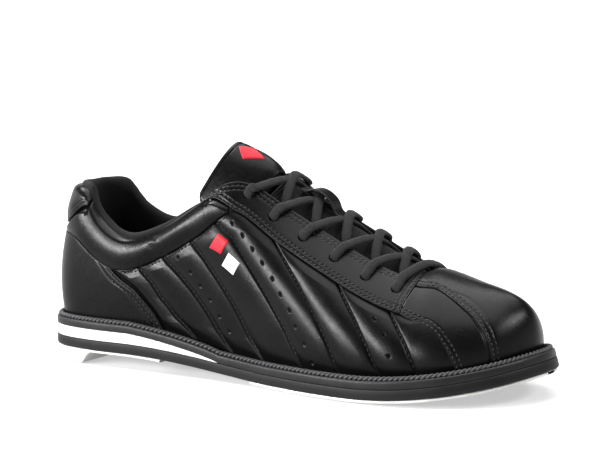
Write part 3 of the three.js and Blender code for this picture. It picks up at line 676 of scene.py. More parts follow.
def lip_drop(d, r):
    d = np.clip(d / r, 0, 1)
    return r * (1 - np.sqrt(np.maximum(1 - (1 - d) ** 2, 0)))


def lengths(p, axis):
    return np.linalg.norm(np.diff(p, axis=axis), axis=-1).sum(axis=axis)


def slant(p, axis, end):
    """Sine of the angle between the grid lines and the border they end on."""
    q = p if axis == 0 else p.swapaxes(0, 1)
    border = q[end]
    tangent = unit(np.gradient(border, axis=0))
    line = unit(q[1] - q[0] if end == 0 else q[-1] - q[-2])
    return np.clip(np.linalg.norm(np.cross(tangent, line), axis=-1), 0.35, 1)


def simulate(points, pressure, swell, cap, frames=18):
    """Cloth run on an open sheet sewn down round its border: how far each point moves, in mm."""
    n, m = points.shape[:2]
    scene, size = bpy.context.scene, 0.01              # a centimetre for each millimetre
    me = bpy.data.meshes.new("sheet")
    me.from_pydata([tuple(v) for v in points.reshape(-1, 3) * size], [],
                   plain(grid_faces(n, m)))
    obj = bpy.data.objects.new("sheet", me)
    scene.collection.objects.link(obj)
    rim = [i * m + j for i in range(n) for j in range(m) if i in (0, n - 1) or j in (0, m - 1)]
    obj.vertex_groups.new(name="sewn").add(rim, 1.0, "REPLACE")
    cloth = obj.modifiers.new("cloth", "CLOTH")
    s = cloth.settings
    s.quality, s.mass, s.air_damping = 8, 0.3, 4
    s.tension_stiffness = s.compression_stiffness = 18
    s.shear_stiffness, s.bending_stiffness = 6, 0.8
    s.use_pressure, s.uniform_pressure_force = True, pressure
    s.vertex_group_mass, s.shrink_min = "sewn", -swell
    s.effector_weights.gravity = 0
    cloth.collision_settings.use_collision = False
    cloth.point_cache.frame_start, cloth.point_cache.frame_end = 1, frames
    for f in range(1, frames + 1):
        scene.frame_set(f)
    done = obj.evaluated_get(bpy.context.evaluated_depsgraph_get())
    co = np.zeros(n * m * 3, np.float32)
    done.data.vertices.foreach_get("co", co)
    moved = (co.reshape(n, m, 3) / size) - points
    scene.frame_set(1)
    bpy.data.objects.remove(obj)
    far = np.linalg.norm(moved, axis=-1, keepdims=True)
    print("cloth moved mm", round(float(far.max()), 2), "mean", round(float(far.mean()), 2))
    return moved * np.minimum(1, cap / np.maximum(far, 1e-6))


def puffed(points, na, nt, **kw):
    """Motion of the sheet's points in a cloth run on a coarser copy of its grid."""
    n, m = points.shape[:2]
    i = np.unique(np.linspace(0, n - 1, na).astype(int))
    j = np.unique(np.linspace(0, m - 1, nt).astype(int))
    moved = simulate(points[np.ix_(i, j)], **kw)
    rows = np.stack([[np.interp(np.arange(m), j, moved[k, :, c]) for c in range(3)]
                     for k in range(len(i))])                       # coarse rows, fine columns
    return np.stack([[np.interp(np.arange(n), i, rows[:, c, k]) for c in range(3)]
                     for k in range(m)]).transpose(2, 0, 1)


def panel(name, at, na, nt, look, out=0.6, into=-1.35, lips=(0.5, 0.5, 0.5, 0.5), rows=None,
          mirror=False, weld=0.0, drop_rows=0.22, soft=None, slack=None, crown=False, **kw):
    """Closed piece of leather on the last. `at(a, t)` gives (u, w); `lips` are the radii of its
    edges at a=0, a=1, t=0, t=1; `rows` are the distances of its stitch lines from each edge."""
    rows = rows or ((), (), (), ())
    a, t = np.meshgrid(np.linspace(0, 1, 41), np.linspace(0, 1, 31), indexing="ij")
    p = skin(*at(a, t))
    la, lt = lengths(p, 0), lengths(p, 1)
    sa0, sa1, st0, st1 = slant(p, 0, 0), slant(p, 0, -1), slant(p, 1, 0), slant(p, 1, -1)
    ts, as_ = np.linspace(0, 1, 31), np.linspace(0, 1, 41)
    n_a = len(fractions(na, arr([100.0]), lips[0], lips[1], rows[0], rows[1]))
    n_t = len(fractions(nt, arr([100.0]), lips[2], lips[3], rows[2], rows[3]))
    tmid = fractions(nt, arr([lt.mean() * st0.mean()]), lips[2], lips[3], rows[2], rows[3])[:, 0]
    amid = fractions(na, arr([la.mean() * sa0.mean()]), lips[0], lips[1], rows[0], rows[1])[:, 0]
    la_t = np.interp(tmid, ts, la * (sa0 + sa1) / 2)
    lt_a = np.interp(amid, as_, lt * (st0 + st1) / 2)
    A = fractions(na, la_t, lips[0], lips[1], rows[0], rows[1])
    T = fractions(nt, lt_a, lips[2], lips[3], rows[2], rows[3]).T
    u, w = at(A, T)
    d = [A * la_t, (1 - A) * la_t, T * lt_a[:, None], (1 - T) * lt_a[:, None]]
    face = out(A, T, u, w) if callable(out) else np.full(u.shape, float(out))
    drop = [lip_drop(x, r) for x, r in zip(d, lips)]
    fold = np.minimum(u, MIRROR - u)
    if crown:                                    # the sides are one piece along the ridge
        drop[3] = drop[3] * smooth((RIDGE - fold) / 0.3)
    drop = sum(drop)
    low = into(A, T, u, w) if callable(into) else np.full(u.shape, float(into))
    dip = sum(np.exp(-((x - s) / 0.42) ** 2) for x, r in zip(d, rows) for s in r) \
        if any(len(r) for r in rows) else 0
    face = face - drop_rows * dip
    face = np.maximum(face - drop, low + 0.05)
    if mirror:
        u = MIRROR - u
    outer, inner = on_skin(u, w, face), on_skin(u, w, low)
    if soft:
        keep = slack(fold, w) if slack else np.ones(u.shape)
        for x, r in zip(d, rows):
            if len(r):
                keep = keep * smooth((x - max(r) - 0.4) / 3)
        outer = outer + keep[..., None] * puffed(outer, **soft)
    joined = fold[:, -1] >= RIDGE - 1e-6 if crown else None
    verts, faces = closed_sheet(outer, inner, flip=mirror, joined=joined)
    nearest = np.minimum.reduce([np.where(r < 0.2, 99, x) for x, r in zip(d, lips)])
    edge = np.exp(-nearest / 0.45)
    along = np.stack([A * la.mean(), T * lt.mean()], -1)
    # painted shade mark: how far the leather is painted dark in holes and grooves
    hole = kw.pop("hole", None)
    dark = hole(u, w) if hole else np.zeros(u.shape)
    marks = {"edge": np.concatenate([edge.ravel()] * 2), "hole": np.concatenate([dark.ravel()] * 2)}
    uv = np.concatenate([along.reshape(-1, 2)] * 2)
    made = build(name, verts, faces, look, marks=marks, uv=uv, weld=weld, **kw)
    return made


def pair(name, at, na, nt, look, **kw):
    for side, mirror in (("lateral", False), ("medial", True)):
        panel(f"{name}_{side}_leather", at, na, nt, look, mirror=mirror,
              replaces=(f"{name}_{side}",), **kw)


# ------------------------------------------------------------------ stitching
class Stitches:
    """Short rounded threads gathered in one mesh."""

    def __init__(self):
        self.verts, self.faces, self.count = [], [], 0

    def add(self, p, n, pitch=2.7, length=1.95, r=0.36, lift=0.05, start=0.5):
        """Threads along the line of points p whose surface normals are n."""
        s = run_length(p)
        count = max(1, int(round((s[-1] - 2 * start) / pitch)))
        at = np.linspace(start, s[-1] - start, count + 1)
        at = (at[:-1] + at[1:]) / 2
        at = at + rng.normal(0, 0.06, len(at))
        mix = lambda v, x: np.stack([np.interp(x, s, v[:, k]) for k in range(3)], -1)
        c, up = mix(p, at), unit(mix(n, at))
        along = unit(mix(p, at + 0.3) - mix(p, at - 0.3))
        side = unit(np.cross(up, along))
        turn = np.linspace(0, 2 * np.pi, 7)[:-1]
        rows = ((-0.5, 0.25, -0.75), (-0.42, 0.75, -0.2), (-0.2, 1.0, 0.32), (0.2, 1.0, 0.32),
                (0.42, 0.75, -0.2), (0.5, 0.25, -0.75))
        shape = arr([(x * length, r * f * math.cos(q), r * (0.8 * f * math.sin(q) + h))
                     for x, f, h in rows for q in turn])
        wob = 1 + rng.normal(0, 0.05, (len(c), 1, 1))
        v = (c[:, None] + shape[None, :, :1] * wob * along[:, None]
             + shape[None, :, 1:2] * side[:, None] + (shape[None, :, 2:] + lift) * up[:, None])
        ring = grid_faces(6, 6, 0, True, False, True)
        caps = [[0, 5, 4, 3], [0, 3, 2, 1], [30, 31, 32, 33], [30, 33, 34, 35]]
        one = np.concatenate([ring, arr(caps).astype(int)])
        base = self.count + np.arange(len(c))[:, None, None] * 36
        self.faces.append((one[None] + base).reshape(-1, 4))
        self.verts.append(v.reshape(-1, 3))
        self.count += 36 * len(c)

    def build(self, name, look, **kw):
        return build(name, np.concatenate(self.verts), np.concatenate(self.faces), look, **kw)


def line_on(u, w, d, step=0.8):
    """Dense stations, heights and offsets along a seam given by stations, heights and offset."""
    u, w = arr(u), arr(w)
    p = skin(u, w)
    s = run_length(p)
    x = np.linspace(0, s[-1], max(8, int(s[-1] / step)))
    u, w = np.interp(x, s, u), np.interp(x, s, w)
    off = d(u, w) if callable(d) else np.full(len(u), float(d))
    return u, w, off


def shifted(u, w, mm):
    """The same line moved sideways over the surface by mm, to the left of its direction."""
    p, n = skin(u, w), skin_normal(u, w)
    t = unit(np.gradient(p, axis=0))
    side = np.cross(n, t) * mm
    e = 1e-3
    pu, pw = (skin(u + e, w) - skin(u - e, w)) / (2 * e), (skin(u, w + e) - skin(u, w - e)) / (2 * e)
    a, b, c = (pu * pu).sum(-1), (pu * pw).sum(-1), (pw * pw).sum(-1)
    x, y = (pu * side).sum(-1), (pw * side).sum(-1)
    det = a * c - b * b
    return u + (c * x - b * y) / det, w + (a * y - b * x) / det


seam = Stitches()


def sew(u, w, d, *gaps, **kw):
    """Rows of stitches beside a line, at each distance in `gaps`, on both sides of the shoe."""
    u, w, off = line_on(u, w, d)
    for gap in gaps:
        su, sw = shifted(u, w, gap) if gap else (u, w)
        depth = d(su, sw) if callable(d) else off
        for mirrored in (False, True):
            x = MIRROR - su if mirrored else su
            seam.add(on_skin(x, sw, depth), skin_normal(x, sw), **kw)


def span(a, b, n=60):
    return np.linspace(a, b, n)


def row(f, a, b, n=60):
    x = span(a, b, n)
    return x, f(x)


# ------------------------------------------------------------------ upper
def holes_at(points, radius):
    """Mask of round holes at stations and heights, 1 inside: it sets their depth and their painted
    shade.
    """
    pts = skin(*arr(points).T)

    def f(u, w):
        v = np.where(u > 16, MIRROR - u, u)
        p = skin(v, w)
        near = np.full(v.shape, 1e9)
        for q in pts:
            near = np.minimum(near, ((p - q) ** 2).sum(-1))
        return 1 - smooth((np.sqrt(near) - radius * 0.75) / (radius * 0.55))
    return f


punched = holes_at([p for line in PUNCHED for p in line], 0.85)


def quarter_at(a, t):
    u = (4.5 + (3.3 - 4.5) * t ** 1.5) * (1 - a) + (13.55 + (12.15 - 13.55) * t ** 1.6) * a
    return u, t * quarter_top(u)


def quarter_painted_shade(u, w):
    """Painted shade in the punched holes and along the stitched grooves."""
    return np.maximum(punched(u, w), 0.75 * np.exp(-(channel(np.minimum(u, MIRROR - u), w)[1]
                                                     / 0.6) ** 2))


def quarter_out(A, T, u, w):
    return quilt(u, w) - 1.0 * punched(u, w)


pair("quarter", quarter_at, 420, 110, LEATHER, out=quarter_out, into=-3.4,
     lips=(0.3, 0.3, 0.3, 0.3), hole=quarter_painted_shade, slot="leather")


def vamp_at(a, t):
    w1 = vamp_front_w(t)
    return vamp_back(t) * (1 - a) + (cap_back(w1) + 0.03) * a, vamp_back_w(t) * (1 - a) + w1 * a


eyestay_front = through((0.565, 11.8), (0.696, 11.97), (0.871, 12.25), (1, 12.4))


def vamp_out(A, T, u, w):
    under_stay = smooth((eyestay_front(w) + 0.03 - u) / 0.07) * smooth((w - 0.54) / 0.03)
    under_cap = smooth((u - cap_back(w) + 0.13) / 0.1)
    return 0.6 - 1.2 * under_stay - 0.8 * under_cap


pair("vamp_side", vamp_at, 40, 70, LEATHER, out=vamp_out, rows=((1.3, 3.7), (), (), ()),
     slot="leather")


def collar_at(a, t):
    u = 7.33 * a
    top = np.where(u < 2.33, np.minimum(1, tab_low(u) + 0.02), np.minimum(1, eyestay_low(u) + 0.02))
    top = np.where((u >= 2.33) & (u < 6.62), 1.0, top)
    low = collar_low(u) - 0.04 * smooth((3.9 - u) / 0.5)
    return u, low * (1 - t) + top * t


def collar_out(A, T, u, w):
    reach = np.clip((w - collar_low(u)) / np.maximum(1 - collar_low(u), 1e-6), 0, 1)
    swell = np.sin(np.pi * reach ** 0.85) ** 0.8
    thin = smooth(u / 0.6 + 0.35) * smooth((7.5 - u) / 0.9)
    under = np.where(u < 2.4, smooth((tab_low(np.minimum(u, 2.35)) - 0.01 - w) / 0.06), 1)
    under = np.minimum(under, smooth((eyestay_low(np.maximum(u, 6.6)) - w) / 0.05
                                     + (u < 6.5)))
    return -0.35 + 0.5 * under + 2.3 * swell * thin * under


def collar_into(A, T, u, w):
    return np.full(u.shape, -1.6) - 2.4 * smooth((w - 0.9) / 0.1)


pair("collar", collar_at, 150, 34, PAD_LEATHER, out=collar_out, into=collar_into,
     lips=(0.3, 0.3, 0.7, 3.6), slot="padded_leather",
     soft=dict(na=120, nt=18, pressure=2.5, swell=0.004, cap=1.0),
     slack=lambda u, w: smooth((u - 3.6) / 1.4) * smooth((6.55 - u) / 0.9))


def counter_at(a, t):
    s = 2 * a - 1
    return s * counter_end(t), t * (0.57 + 0.06 * (1 - s * s))


panel("heel_counter_leather", counter_at, 90, 34, LEATHER, rows=(TWO_ROWS, TWO_ROWS, (), ()),
      replaces=("heel_counter",), slot="leather")


def tab_at(a, t):
    u = (2 * a - 1) * 2.3
    return u, tab_low(np.abs(u)) * (1 - t) + t


def tab_out(A, T, u, w):
    low = tab_low(np.abs(u))
    reach = np.clip((w - low) / np.maximum(1 - low, 0.02), 0, 1)
    return 0.75 + 1.5 * np.sin(np.pi * np.clip(reach, 0, 1) ** 0.8) * smooth((2.3 - np.abs(u)) / 0.9)


panel("heel_tab_leather", tab_at, 70, 30, PAD_LEATHER, out=tab_out,
      into=lambda A, T, u, w: -1.2 - 2.8 * smooth((w - 0.93) / 0.07),
      lips=(0.4, 0.4, 0.6, 3.4), rows=((), (), (1.4, 3.4), ()), replaces=("heel_tab",),
      slot="padded_leather", soft=dict(na=50, nt=18, pressure=2.5, swell=0.004, cap=0.7))


def toe_at(back, top):
    def at(a, t):
        s = np.abs(2 * a - 1)
        u = TIP + (back(t) - TIP) * s
        return np.where(a < 0.5, u, AROUND - u), t * top(u)
    return at


def cap_out(A, T, u, w):
    """The cap runs in under the front ends of the eyestays."""
    fold = np.minimum(u, MIRROR - u)
    return 0.6 - 1.2 * smooth((eyestay_front(w) + 0.03 - fold) / 0.08)


panel("toe_cap_leather", toe_at(cap_back, lambda u: 1.0), 120, 64, LEATHER, weld=0.02,
      out=cap_out, crown=True,
      lips=(0.5, 0.5, 0.3, 0.4), rows=((1.3, 3.7), (1.3, 3.7), (), ()),
      replaces=("toe_cap",), slot="leather")

vamp_lining_top = through((7.3, .8), (8.6, .78), (9.5, .76), (10.2, .74), (10.9, .72),
                          (11.7, .7), (12.4, .78), (13, 1), (16, 1))
panel("vamp_lining_cloth", toe_at(lambda t: 7.0 + 0 * t, vamp_lining_top), 90, 24, CLOTH, weld=0.05,
      out=-3.0, into=-4.2, lips=(0.4, 0.4, 0.3, 0.3), crown=True,
      replaces=("vamp_lining",), slot="cloth")

eyelet_hole = holes_at(EYELETS, 1.9)


def eyestay_at(a, t):
    w = eyestay_low(11.8) * (1 - t) + t
    u = 6.62 * (1 - a) + eyestay_front(w) * a
    return u, eyestay_low(u) * (1 - t) + t


def eyestay_out(A, T, u, w):
    hole = eyelet_hole(u, w)
    return 0.65 - 2.6 * hole


# eyelets: sunk into the leather and painted near-black as the shade inside them
pair("eyestay", eyestay_at, 230, 46, LEATHER, out=eyestay_out,
     into=lambda A, T, u, w: -1.4 - 2.2 * eyelet_hole(u, w), lips=(0.5, 0.5, 0.5, 0.6),
     rows=(TWO_ROWS, TWO_ROWS, TWO_ROWS, (2.0, 4.4)), hole=eyelet_hole, slot="leather")

# collar lining: up the inside, over a soft roll along the top line
COLLAR_END = 6.9


def lining(name):
    n_u, prof = 260, []
    for w in np.linspace(0.0, 0.45, 7):
        prof.append((w, LINE_IN, 0))
    for w in np.linspace(0.5, 0.93, 10):
        prof.append((w, LINE_IN - 4.8 * math.sin(math.pi / 2 * min(1, (w - 0.45) / 0.45)), 0))
    mid, half = (-3.0 + LINE_IN - 4.8) / 2, (-3.0 - LINE_IN + 4.8) / 2
    for q in np.linspace(0, math.pi, 15):
        prof.append((1.0, mid - half * math.cos(q), ROLL * math.sin(q) - 0.4))
    for w in np.linspace(0.95, 0.0, 12):
        prof.append((w, -2.6, 0))
    prof = arr(prof)
    u = np.linspace(-COLLAR_END, COLLAR_END, n_u)
    fade = smooth((COLLAR_END - np.abs(u)) / 1.2)[:, None]
    w = np.repeat(prof[None, :, 0], n_u, 0)
    d = prof[None, :, 1]
    d = np.where(d < LINE_IN, LINE_IN + (d - LINE_IN) * (0.35 + 0.65 * fade), d)
    U = np.repeat(u[:, None], len(prof), 1)
    p = on_skin(U, w, d)
    up = unit(skin(U, np.full(U.shape, 0.999)) - skin(U, np.full(U.shape, 0.96)))
    up = unit(up * 0.5 + arr([0, 0, 1.0]) * 0.5)
    p = p + up * (prof[None, :, 2] * (0.55 + 0.45 * fade))[..., None]
    s = np.concatenate([[0], np.cumsum(np.linalg.norm(np.diff(p[n_u // 2], axis=0), axis=1))])
    x = np.concatenate([[0], np.cumsum(np.linalg.norm(np.diff(p[:, 20], axis=0), axis=1))])
    verts = p.reshape(-1, 3)
    faces = grid_faces(n_u, len(prof), 0, False, False, True)
    ends = [list(range(len(prof))), [(n_u - 1) * len(prof) + k for k in range(len(prof))][::-1]]
    uv = np.stack(np.broadcast_arrays(x[:, None], s[None]), -1).reshape(-1, 2)
    return build(name, verts, plain(faces) + ends, CLOTH, uv=uv,
                 replaces=("collar_lining",), slot="cloth")


LINE_IN, ROLL = -4.2, 3.2
collar_roll = lining("collar_lining_roll")

# ------------------------------------------------------------------ sole
AROUND_N = 448


def loops(rows, n=AROUND_N):
    """Rings of points along the sole edge; each row is (inset, height), numbers or functions."""
    u = np.arange(n) / n * AROUND
    rings = []
    for d, h in rows:
        e, _ = edge_at(u, np.full(n, float(d)))
        rings.append(in_stack(e[:, 0], e[:, 1], h(e[:, 0]) if callable(h) else np.full(n, float(h))))
    return arr(rings)


def bridge(ids, flip=False):
    """Quads across a ring from its outer to its inner side."""
    n = len(ids)
    k = np.arange(n // 2)
    q = np.stack([ids[k], ids[(k + 1) % n], ids[(n - k - 1) % n], ids[(n - k) % n]], -1)
    return q[:, ::-1] if flip else q


def slab(name, rows, look, **kw):
    """Solid plate of the sole: rings from the middle of its underside round to its top."""
    r = loops(rows)
    m, n = r.shape[:2]
    faces = grid_faces(m, n, 0, False, False, True)
    ids = np.arange(m * n).reshape(m, n)
    q = np.concatenate([faces, bridge(ids[0], True), bridge(ids[-1])])[:, ::-1]
    edge = kw.pop("edge", None)
    marks = {"edge": np.repeat(arr(edge) if edge is not None else np.zeros(m), n)}
    return build(name, r.reshape(-1, 3), q, look, marks=marks, **kw)


slab("outsole_rubber", [(12, 0), (0.8, 0), (0.35, 0.12), (0.1, 0.4), (0, 0.9), (0, 2.8),
                        (0, 4.9), (0.12, 5.4), (0.5, 5.6), (12, 5.6)],
     RUBBER_BLACK, replaces=("outsole",), slot="rubber",
     edge=[0, 0, .5, .8, .3, 0, .2, .7, .5, 0])


def ring_piece(name, rows, look, n=AROUND_N, edge=None, **kw):
    r = loops(rows, n)
    m = len(rows)
    marks = {"edge": np.repeat(arr(edge) if edge is not None else np.zeros(m), n)}
    return build(name, r.reshape(-1, 3), grid_faces(m, n, 0, True, True, True), look,
                 marks=marks, **kw)


over = lambda k: (lambda x: RUBBER + wedge_at(x) + k)
ring_piece("welt_strip", [(11, over(0.1)), (0.5, over(0.1)), (0.1, over(0.3)), (0.0, over(0.7)),
                          (0.02, over(2.0)), (0.05, over(3.3)), (0.15, over(3.9)),
                          (0.45, over(4.25)), (0.95, over(4.4)), (4.0, over(4.4)), (11, over(4.4))],
           WELT_GREY, replaces=("welt",), slot="welt",
           edge=[0, .2, .8, .2, 0, 0, .5, .9, .3, 0, 0])


def end_quads(m, first):
    """Closes the end of a piece whose section of m points is folded in two halves."""
    return [[first + i for i in (j, j + 1, m - 2 - j, m - 1 - j)] for j in range(m // 2 - 1)]


def wedge_piece():
    """White wedge: runs out to nothing towards the waist."""
    n = 220
    xs = -HALF_L + 0.02 + (WEDGE_TIP_X + HALF_L) * (1 - np.cos(np.linspace(0, np.pi / 2, n)))
    us = np.linspace(0, TIP, 4000)
    rings = []
    for d, f in ((7.0, 0.02), (0.3, 0.02), (0.0, 0.12), (0, 0.5), (0.0, 0.88), (0.3, 0.98), (7, 0.98)):
        side = []
        for inner in (False, True):
            u = AROUND - us if inner else us
            e, _ = edge_at(u, np.full(len(u), float(d)))
            x = np.maximum(xs, e[:, 0].min() + 0.01)
            y = np.interp(x, e[:, 0], e[:, 1])
            h = RUBBER + 0.05 + (wedge_at(x) + 0.05) * f
            side.append(in_stack(x, y, h))
        rings.append(side)
    lat = np.stack([r[0] for r in rings], 1)          # n x 7 x 3
    med = np.stack([r[1] for r in rings[::-1]], 1)
    p = np.concatenate([lat, med], 1)
    faces = grid_faces(n, p.shape[1], 0, True, False, True)
    m = p.shape[1]
    ends = end_quads(m, 0) + [q[::-1] for q in end_quads(m, (n - 1) * m)]
    return build("wedge_foam", p.reshape(-1, 3), plain(faces) + ends,
                 WHITE_FOAM, replaces=("wedge",), slot="white_sole")


wedge_piece()


def plate_piece(name, xs, low, high, inset, look, rounded=0.6, **kw):
    """Plate under the sole between x positions; low and high are heights in the stack."""
    us = np.linspace(0, TIP, 4000)

    def edge_y(x, d, inner):
        u = AROUND - us if inner else us
        e, _ = edge_at(u, np.full(len(u), float(d)))
        return np.interp(x, e[:, 0], e[:, 1])
    lo, hi = low(xs), high(xs)
    r = np.minimum(rounded, (hi - lo) * 0.45)
    section = [(6, 0, 0), (1.0, 0, 0), (0.3, 0, 0.3), (0, 0, 1), (0, 1, -1), (0.3, 1, -0.3),
               (1.0, 1, 0), (6, 1, 0)]
    cols = []
    for inner in (False, True):
        side = []
        for d, top, k in section:
            y = edge_y(xs, inset + (d * rounded if d < 6 else 6), inner)
            h = np.where(top, hi, lo) + k * r
            side.append(in_stack(xs, y, h))
        cols.append(side if not inner else side[::-1])
    p = np.stack(cols[0] + cols[1], 1)
    n, m = p.shape[:2]
    faces = grid_faces(n, m, 0, True, False, True)
    ends = end_quads(m, 0) + [q[::-1] for q in end_quads(m, (n - 1) * m)]
    return build(name, p.reshape(-1, 3), plain(faces) + ends, look, **kw)


def curved(a, b, n, start=True):
    """n positions from a to b, crowded at the start or at the end."""
    t = np.linspace(0, 1, n)
    return a + (b - a) * (1 - np.cos(np.pi / 2 * t) if start else np.sin(np.pi / 2 * t))


BREAST = -121.0
heel_x = np.unique(np.concatenate([curved(-HALF_L + 0.4002, -128, 40), span(-128, -110, 60),
                                   span(-110, -66, 24)]))
heel_low = lambda x: np.where(x < BREAST, -rubber_bottom(x), 0) + np.where(
    x >= BREAST, -(1.6 + (rubber_bottom(x) - 1.6) * (1 - smooth((x - BREAST) / 9.0)) ** 1.6), 0)
plate_piece("heel_block_shell", heel_x, heel_low, lambda x: np.full(x.shape, -0.05), 0.4,
            WHITE_HARD, 1.1, replaces=("heel_block",), slot="white_sole")
slide_x = np.concatenate([span(-6, 100, 60), curved(100, HALF_L - 1.6, 30, False)[1:]])
plate_piece("slide_sole_sheet", slide_x, lambda x: np.full(x.shape, -1.8),
            lambda x: np.full(x.shape, -0.05), 1.4, WHITE_HARD, 0.5,
            replaces=("slide_sole",), slot="white_sole")


# two-ply rope lying in the angle between welt and upper
def tube(path, section, name, look, side, **kw):
    """Open strand along points; `section` gives (x, y) offsets, `side` the direction of x."""
    n, m = len(path), section.shape[-2]
    nxt = np.roll(path, -1, 0) - np.roll(path, 1, 0)
    nxt[0], nxt[-1] = path[1] - path[0], path[-1] - path[-2]
    t = unit(nxt)
    a = unit(side - (side * t).sum(-1, keepdims=True) * t)
    b = np.cross(t, a)
    sec = section if section.ndim == 3 else np.repeat(section[None], n, 0)
    p = path[:, None] + sec[..., :1] * a[:, None] + sec[..., 1:2] * b[:, None]
    s = run_length(path)
    around = np.linspace(0, 1, m) * np.linalg.norm(np.diff(section.reshape(-1, 2)[:m], axis=0),
                                                   axis=1).sum()
    uv = np.stack(np.broadcast_arrays(around[None], s[:, None]), -1).reshape(-1, 2)
    faces = plain(grid_faces(n, m, 0, True, False, True))
    faces += [list(range(m))[::-1], [(n - 1) * m + k for k in range(m)]]
    return build(name, p.reshape(-1, 3), faces, look, uv=uv, **kw)


def rope():
    inset, pitch, n = 2.3, 5.6, 1240
    u = np.arange(n) / n * AROUND
    e, _ = edge_at(u, np.full(n, inset))
    centre = in_stack(e[:, 0], e[:, 1], welt_top(e[:, 0]) + 1.0)
    seg = np.linalg.norm(np.roll(centre, -1, 0) - centre, axis=1)
    s = np.concatenate([[0], np.cumsum(seg)[:-1]])
    total = seg.sum()
    turns = round(total / pitch)
    _, out = edge_at(u)
    out = np.concatenate([out, np.zeros((n, 1))], 1)
    up = arr([0, 0, 1.0])
    verts, faces = [], []
    ring = np.linspace(0, 2 * np.pi, 9)[:-1]
    for k in range(2):
        ph = 2 * np.pi * turns * s / total + np.pi * k
        c = centre + 0.72 * (np.cos(ph)[:, None] * out * 0.95 + np.sin(ph)[:, None] * up * 0.8)
        t = unit(np.roll(c, -1, 0) - np.roll(c, 1, 0))
        a = unit(np.cross(t, up))
        b = np.cross(a, t)
        v = c[:, None] + 0.8 * (np.cos(ring)[None, :, None] * a[:, None]
                                + np.sin(ring)[None, :, None] * b[:, None])
        verts.append(v.reshape(-1, 3))
        faces.append(grid_faces(n, 8, k * n * 8, False, True, True))
    return build("welt_rope", np.concatenate(verts), np.concatenate(faces), ROPE,
                 replaces=("welt_bead",), slot="thread")


rope()

# sock lining, slightly cupped along its edge
slab("sock_lining", [(14, over(WELT + 0.5)), (12.6, over(WELT + 0.6)), (12.2, over(WELT + 1.4)),
                     (12.25, over(WELT + 4.1)), (12.9, over(WELT + 4.9)), (14.5, over(WELT + 4.7)),
                     (18, over(WELT + 4.3))], SOCK, replaces=("sockliner",), slot="cloth")

# ------------------------------------------------------------------ tongue
TONGUE_D = -7.2
TONGUE = [[95, 52.5, 12.5, .84, .74], [86, 57, 12.15, .92, .8], [76, 62.5, 11.8, .94, .83],
          [62, 69.8, 11.2, .95, .84], [45, 78.2, 10.45, .95, .85], [26, 88, 9.7, .95, .86],
          [8, 98, 9.0, .95, .87], [-4.5, 106.8, 8.4, .95, .88]]
tongue_rows = arr([np.concatenate([
    on_skin(u, w_out, TONGUE_D), on_skin(u, w_in, TONGUE_D), [x, middle_y(x), z],
    on_skin(AROUND - u, w_in, TONGUE_D), on_skin(AROUND - u, w_out, TONGUE_D)])
    for x, z, u, w_in, w_out in TONGUE])


def on_tongue(s, c):
    """s along (0 toe .. 7 ankle), c across (0 outer .. 4 inner)."""
    s, c = np.broadcast_arrays(arr(s), arr(c))
    r = open_spline(tongue_rows, s).reshape(s.shape + (5, 3))
    i = np.clip(np.floor(c).astype(int), 0, 3)
    pick = lambda k: np.take_along_axis(r, np.clip(i + k, 0, 4)[..., None, None], -2)[..., 0, :]
    return catmull(pick(-1), pick(0), pick(1), pick(2), (c - i)[..., None])


def free_sheet(name, p, thick, look, lip=0.5, lift=None, **kw):
    """Closed sheet under a grid of points facing out."""
    da, dt = np.gradient(p, axis=0), np.gradient(p, axis=1)
    n = unit(np.cross(da, dt))
    la = np.concatenate([np.zeros((1, p.shape[1])), np.cumsum(np.linalg.norm(
        np.diff(p, axis=0), axis=-1), 0)])
    lt = np.concatenate([np.zeros((p.shape[0], 1)), np.cumsum(np.linalg.norm(
        np.diff(p, axis=1), axis=-1), 1)], 1)
    d = np.minimum.reduce([la, la[-1:] - la, lt, lt[:, -1:] - lt])
    face = -lip_drop(d, lip)
    if lift is not None:
        face = face + lift(la, lt)
    outer, inner = p + n * face[..., None], p - n * (thick + face * 0)[..., None] \
        if not np.isscalar(thick) else p - n * thick
    verts, faces = closed_sheet(outer, inner)
    uv = np.stack([la, lt], -1).reshape(-1, 2)
    marks = {"edge": np.concatenate([np.exp(-d / 0.6).ravel()] * 2),
             "hole": np.zeros(2 * d.size)}
    return build(name, verts, faces, look, uv=np.concatenate([uv, uv]), marks=marks, **kw)


s_grid, c_grid = np.meshgrid(np.linspace(7, 0, 340), np.linspace(0, 4, 60), indexing="ij")
RIB = 1.75
free_sheet("tongue_ribbed", on_tongue(s_grid, c_grid), 3.0, MESH, 1.0,
           lift=lambda la, lt: 0.32 * np.abs(np.sin(np.pi * la / RIB)) ** 0.7,
           replaces=("tongue_lower",), slot="mesh_cloth")

FLAP = [[-8.5, 111.2, 10, 8], [-13, 115, 14, 14], [-19, 118.6, 19, 26], [-28, 122.5, 22, 33],
        [-34, 125, 22, 33.5], [-37, 126, 20.5, 30]]
DOWN = arr([-0.41, 0, -0.91])


def on_flap(a, t):
    a, t = np.broadcast_arrays(arr(a), arr(t))
    r = open_spline(FLAP, 5 * (1 - a))
    y = 2 * t - 1
    p = np.stack([r[..., 0], middle_y(r[..., 0]) + r[..., 2] * y, r[..., 1]], -1)
    return p + DOWN * (r[..., 3] * y * y)[..., None]


def flap_top():
    n, m = 110, 110
    A, T = np.meshgrid(np.linspace(0, 1, n), np.linspace(0, 1, m), indexing="ij")
    p = on_flap(A, T)
    puff = lambda la, lt: 1.0 * (np.sin(np.pi * np.clip(A, 0, 1)) ** 0.5) * (
        np.sin(np.pi * T) ** 0.5) - 0.5 * np.exp(-((la - 3.0) / 0.5) ** 2)
    return free_sheet("tongue_top_leather", p, 2.4, PAD_LEATHER, 0.9, lift=puff,
                      replaces=("tongue_top",), slot="leather", body="tongue_flap")


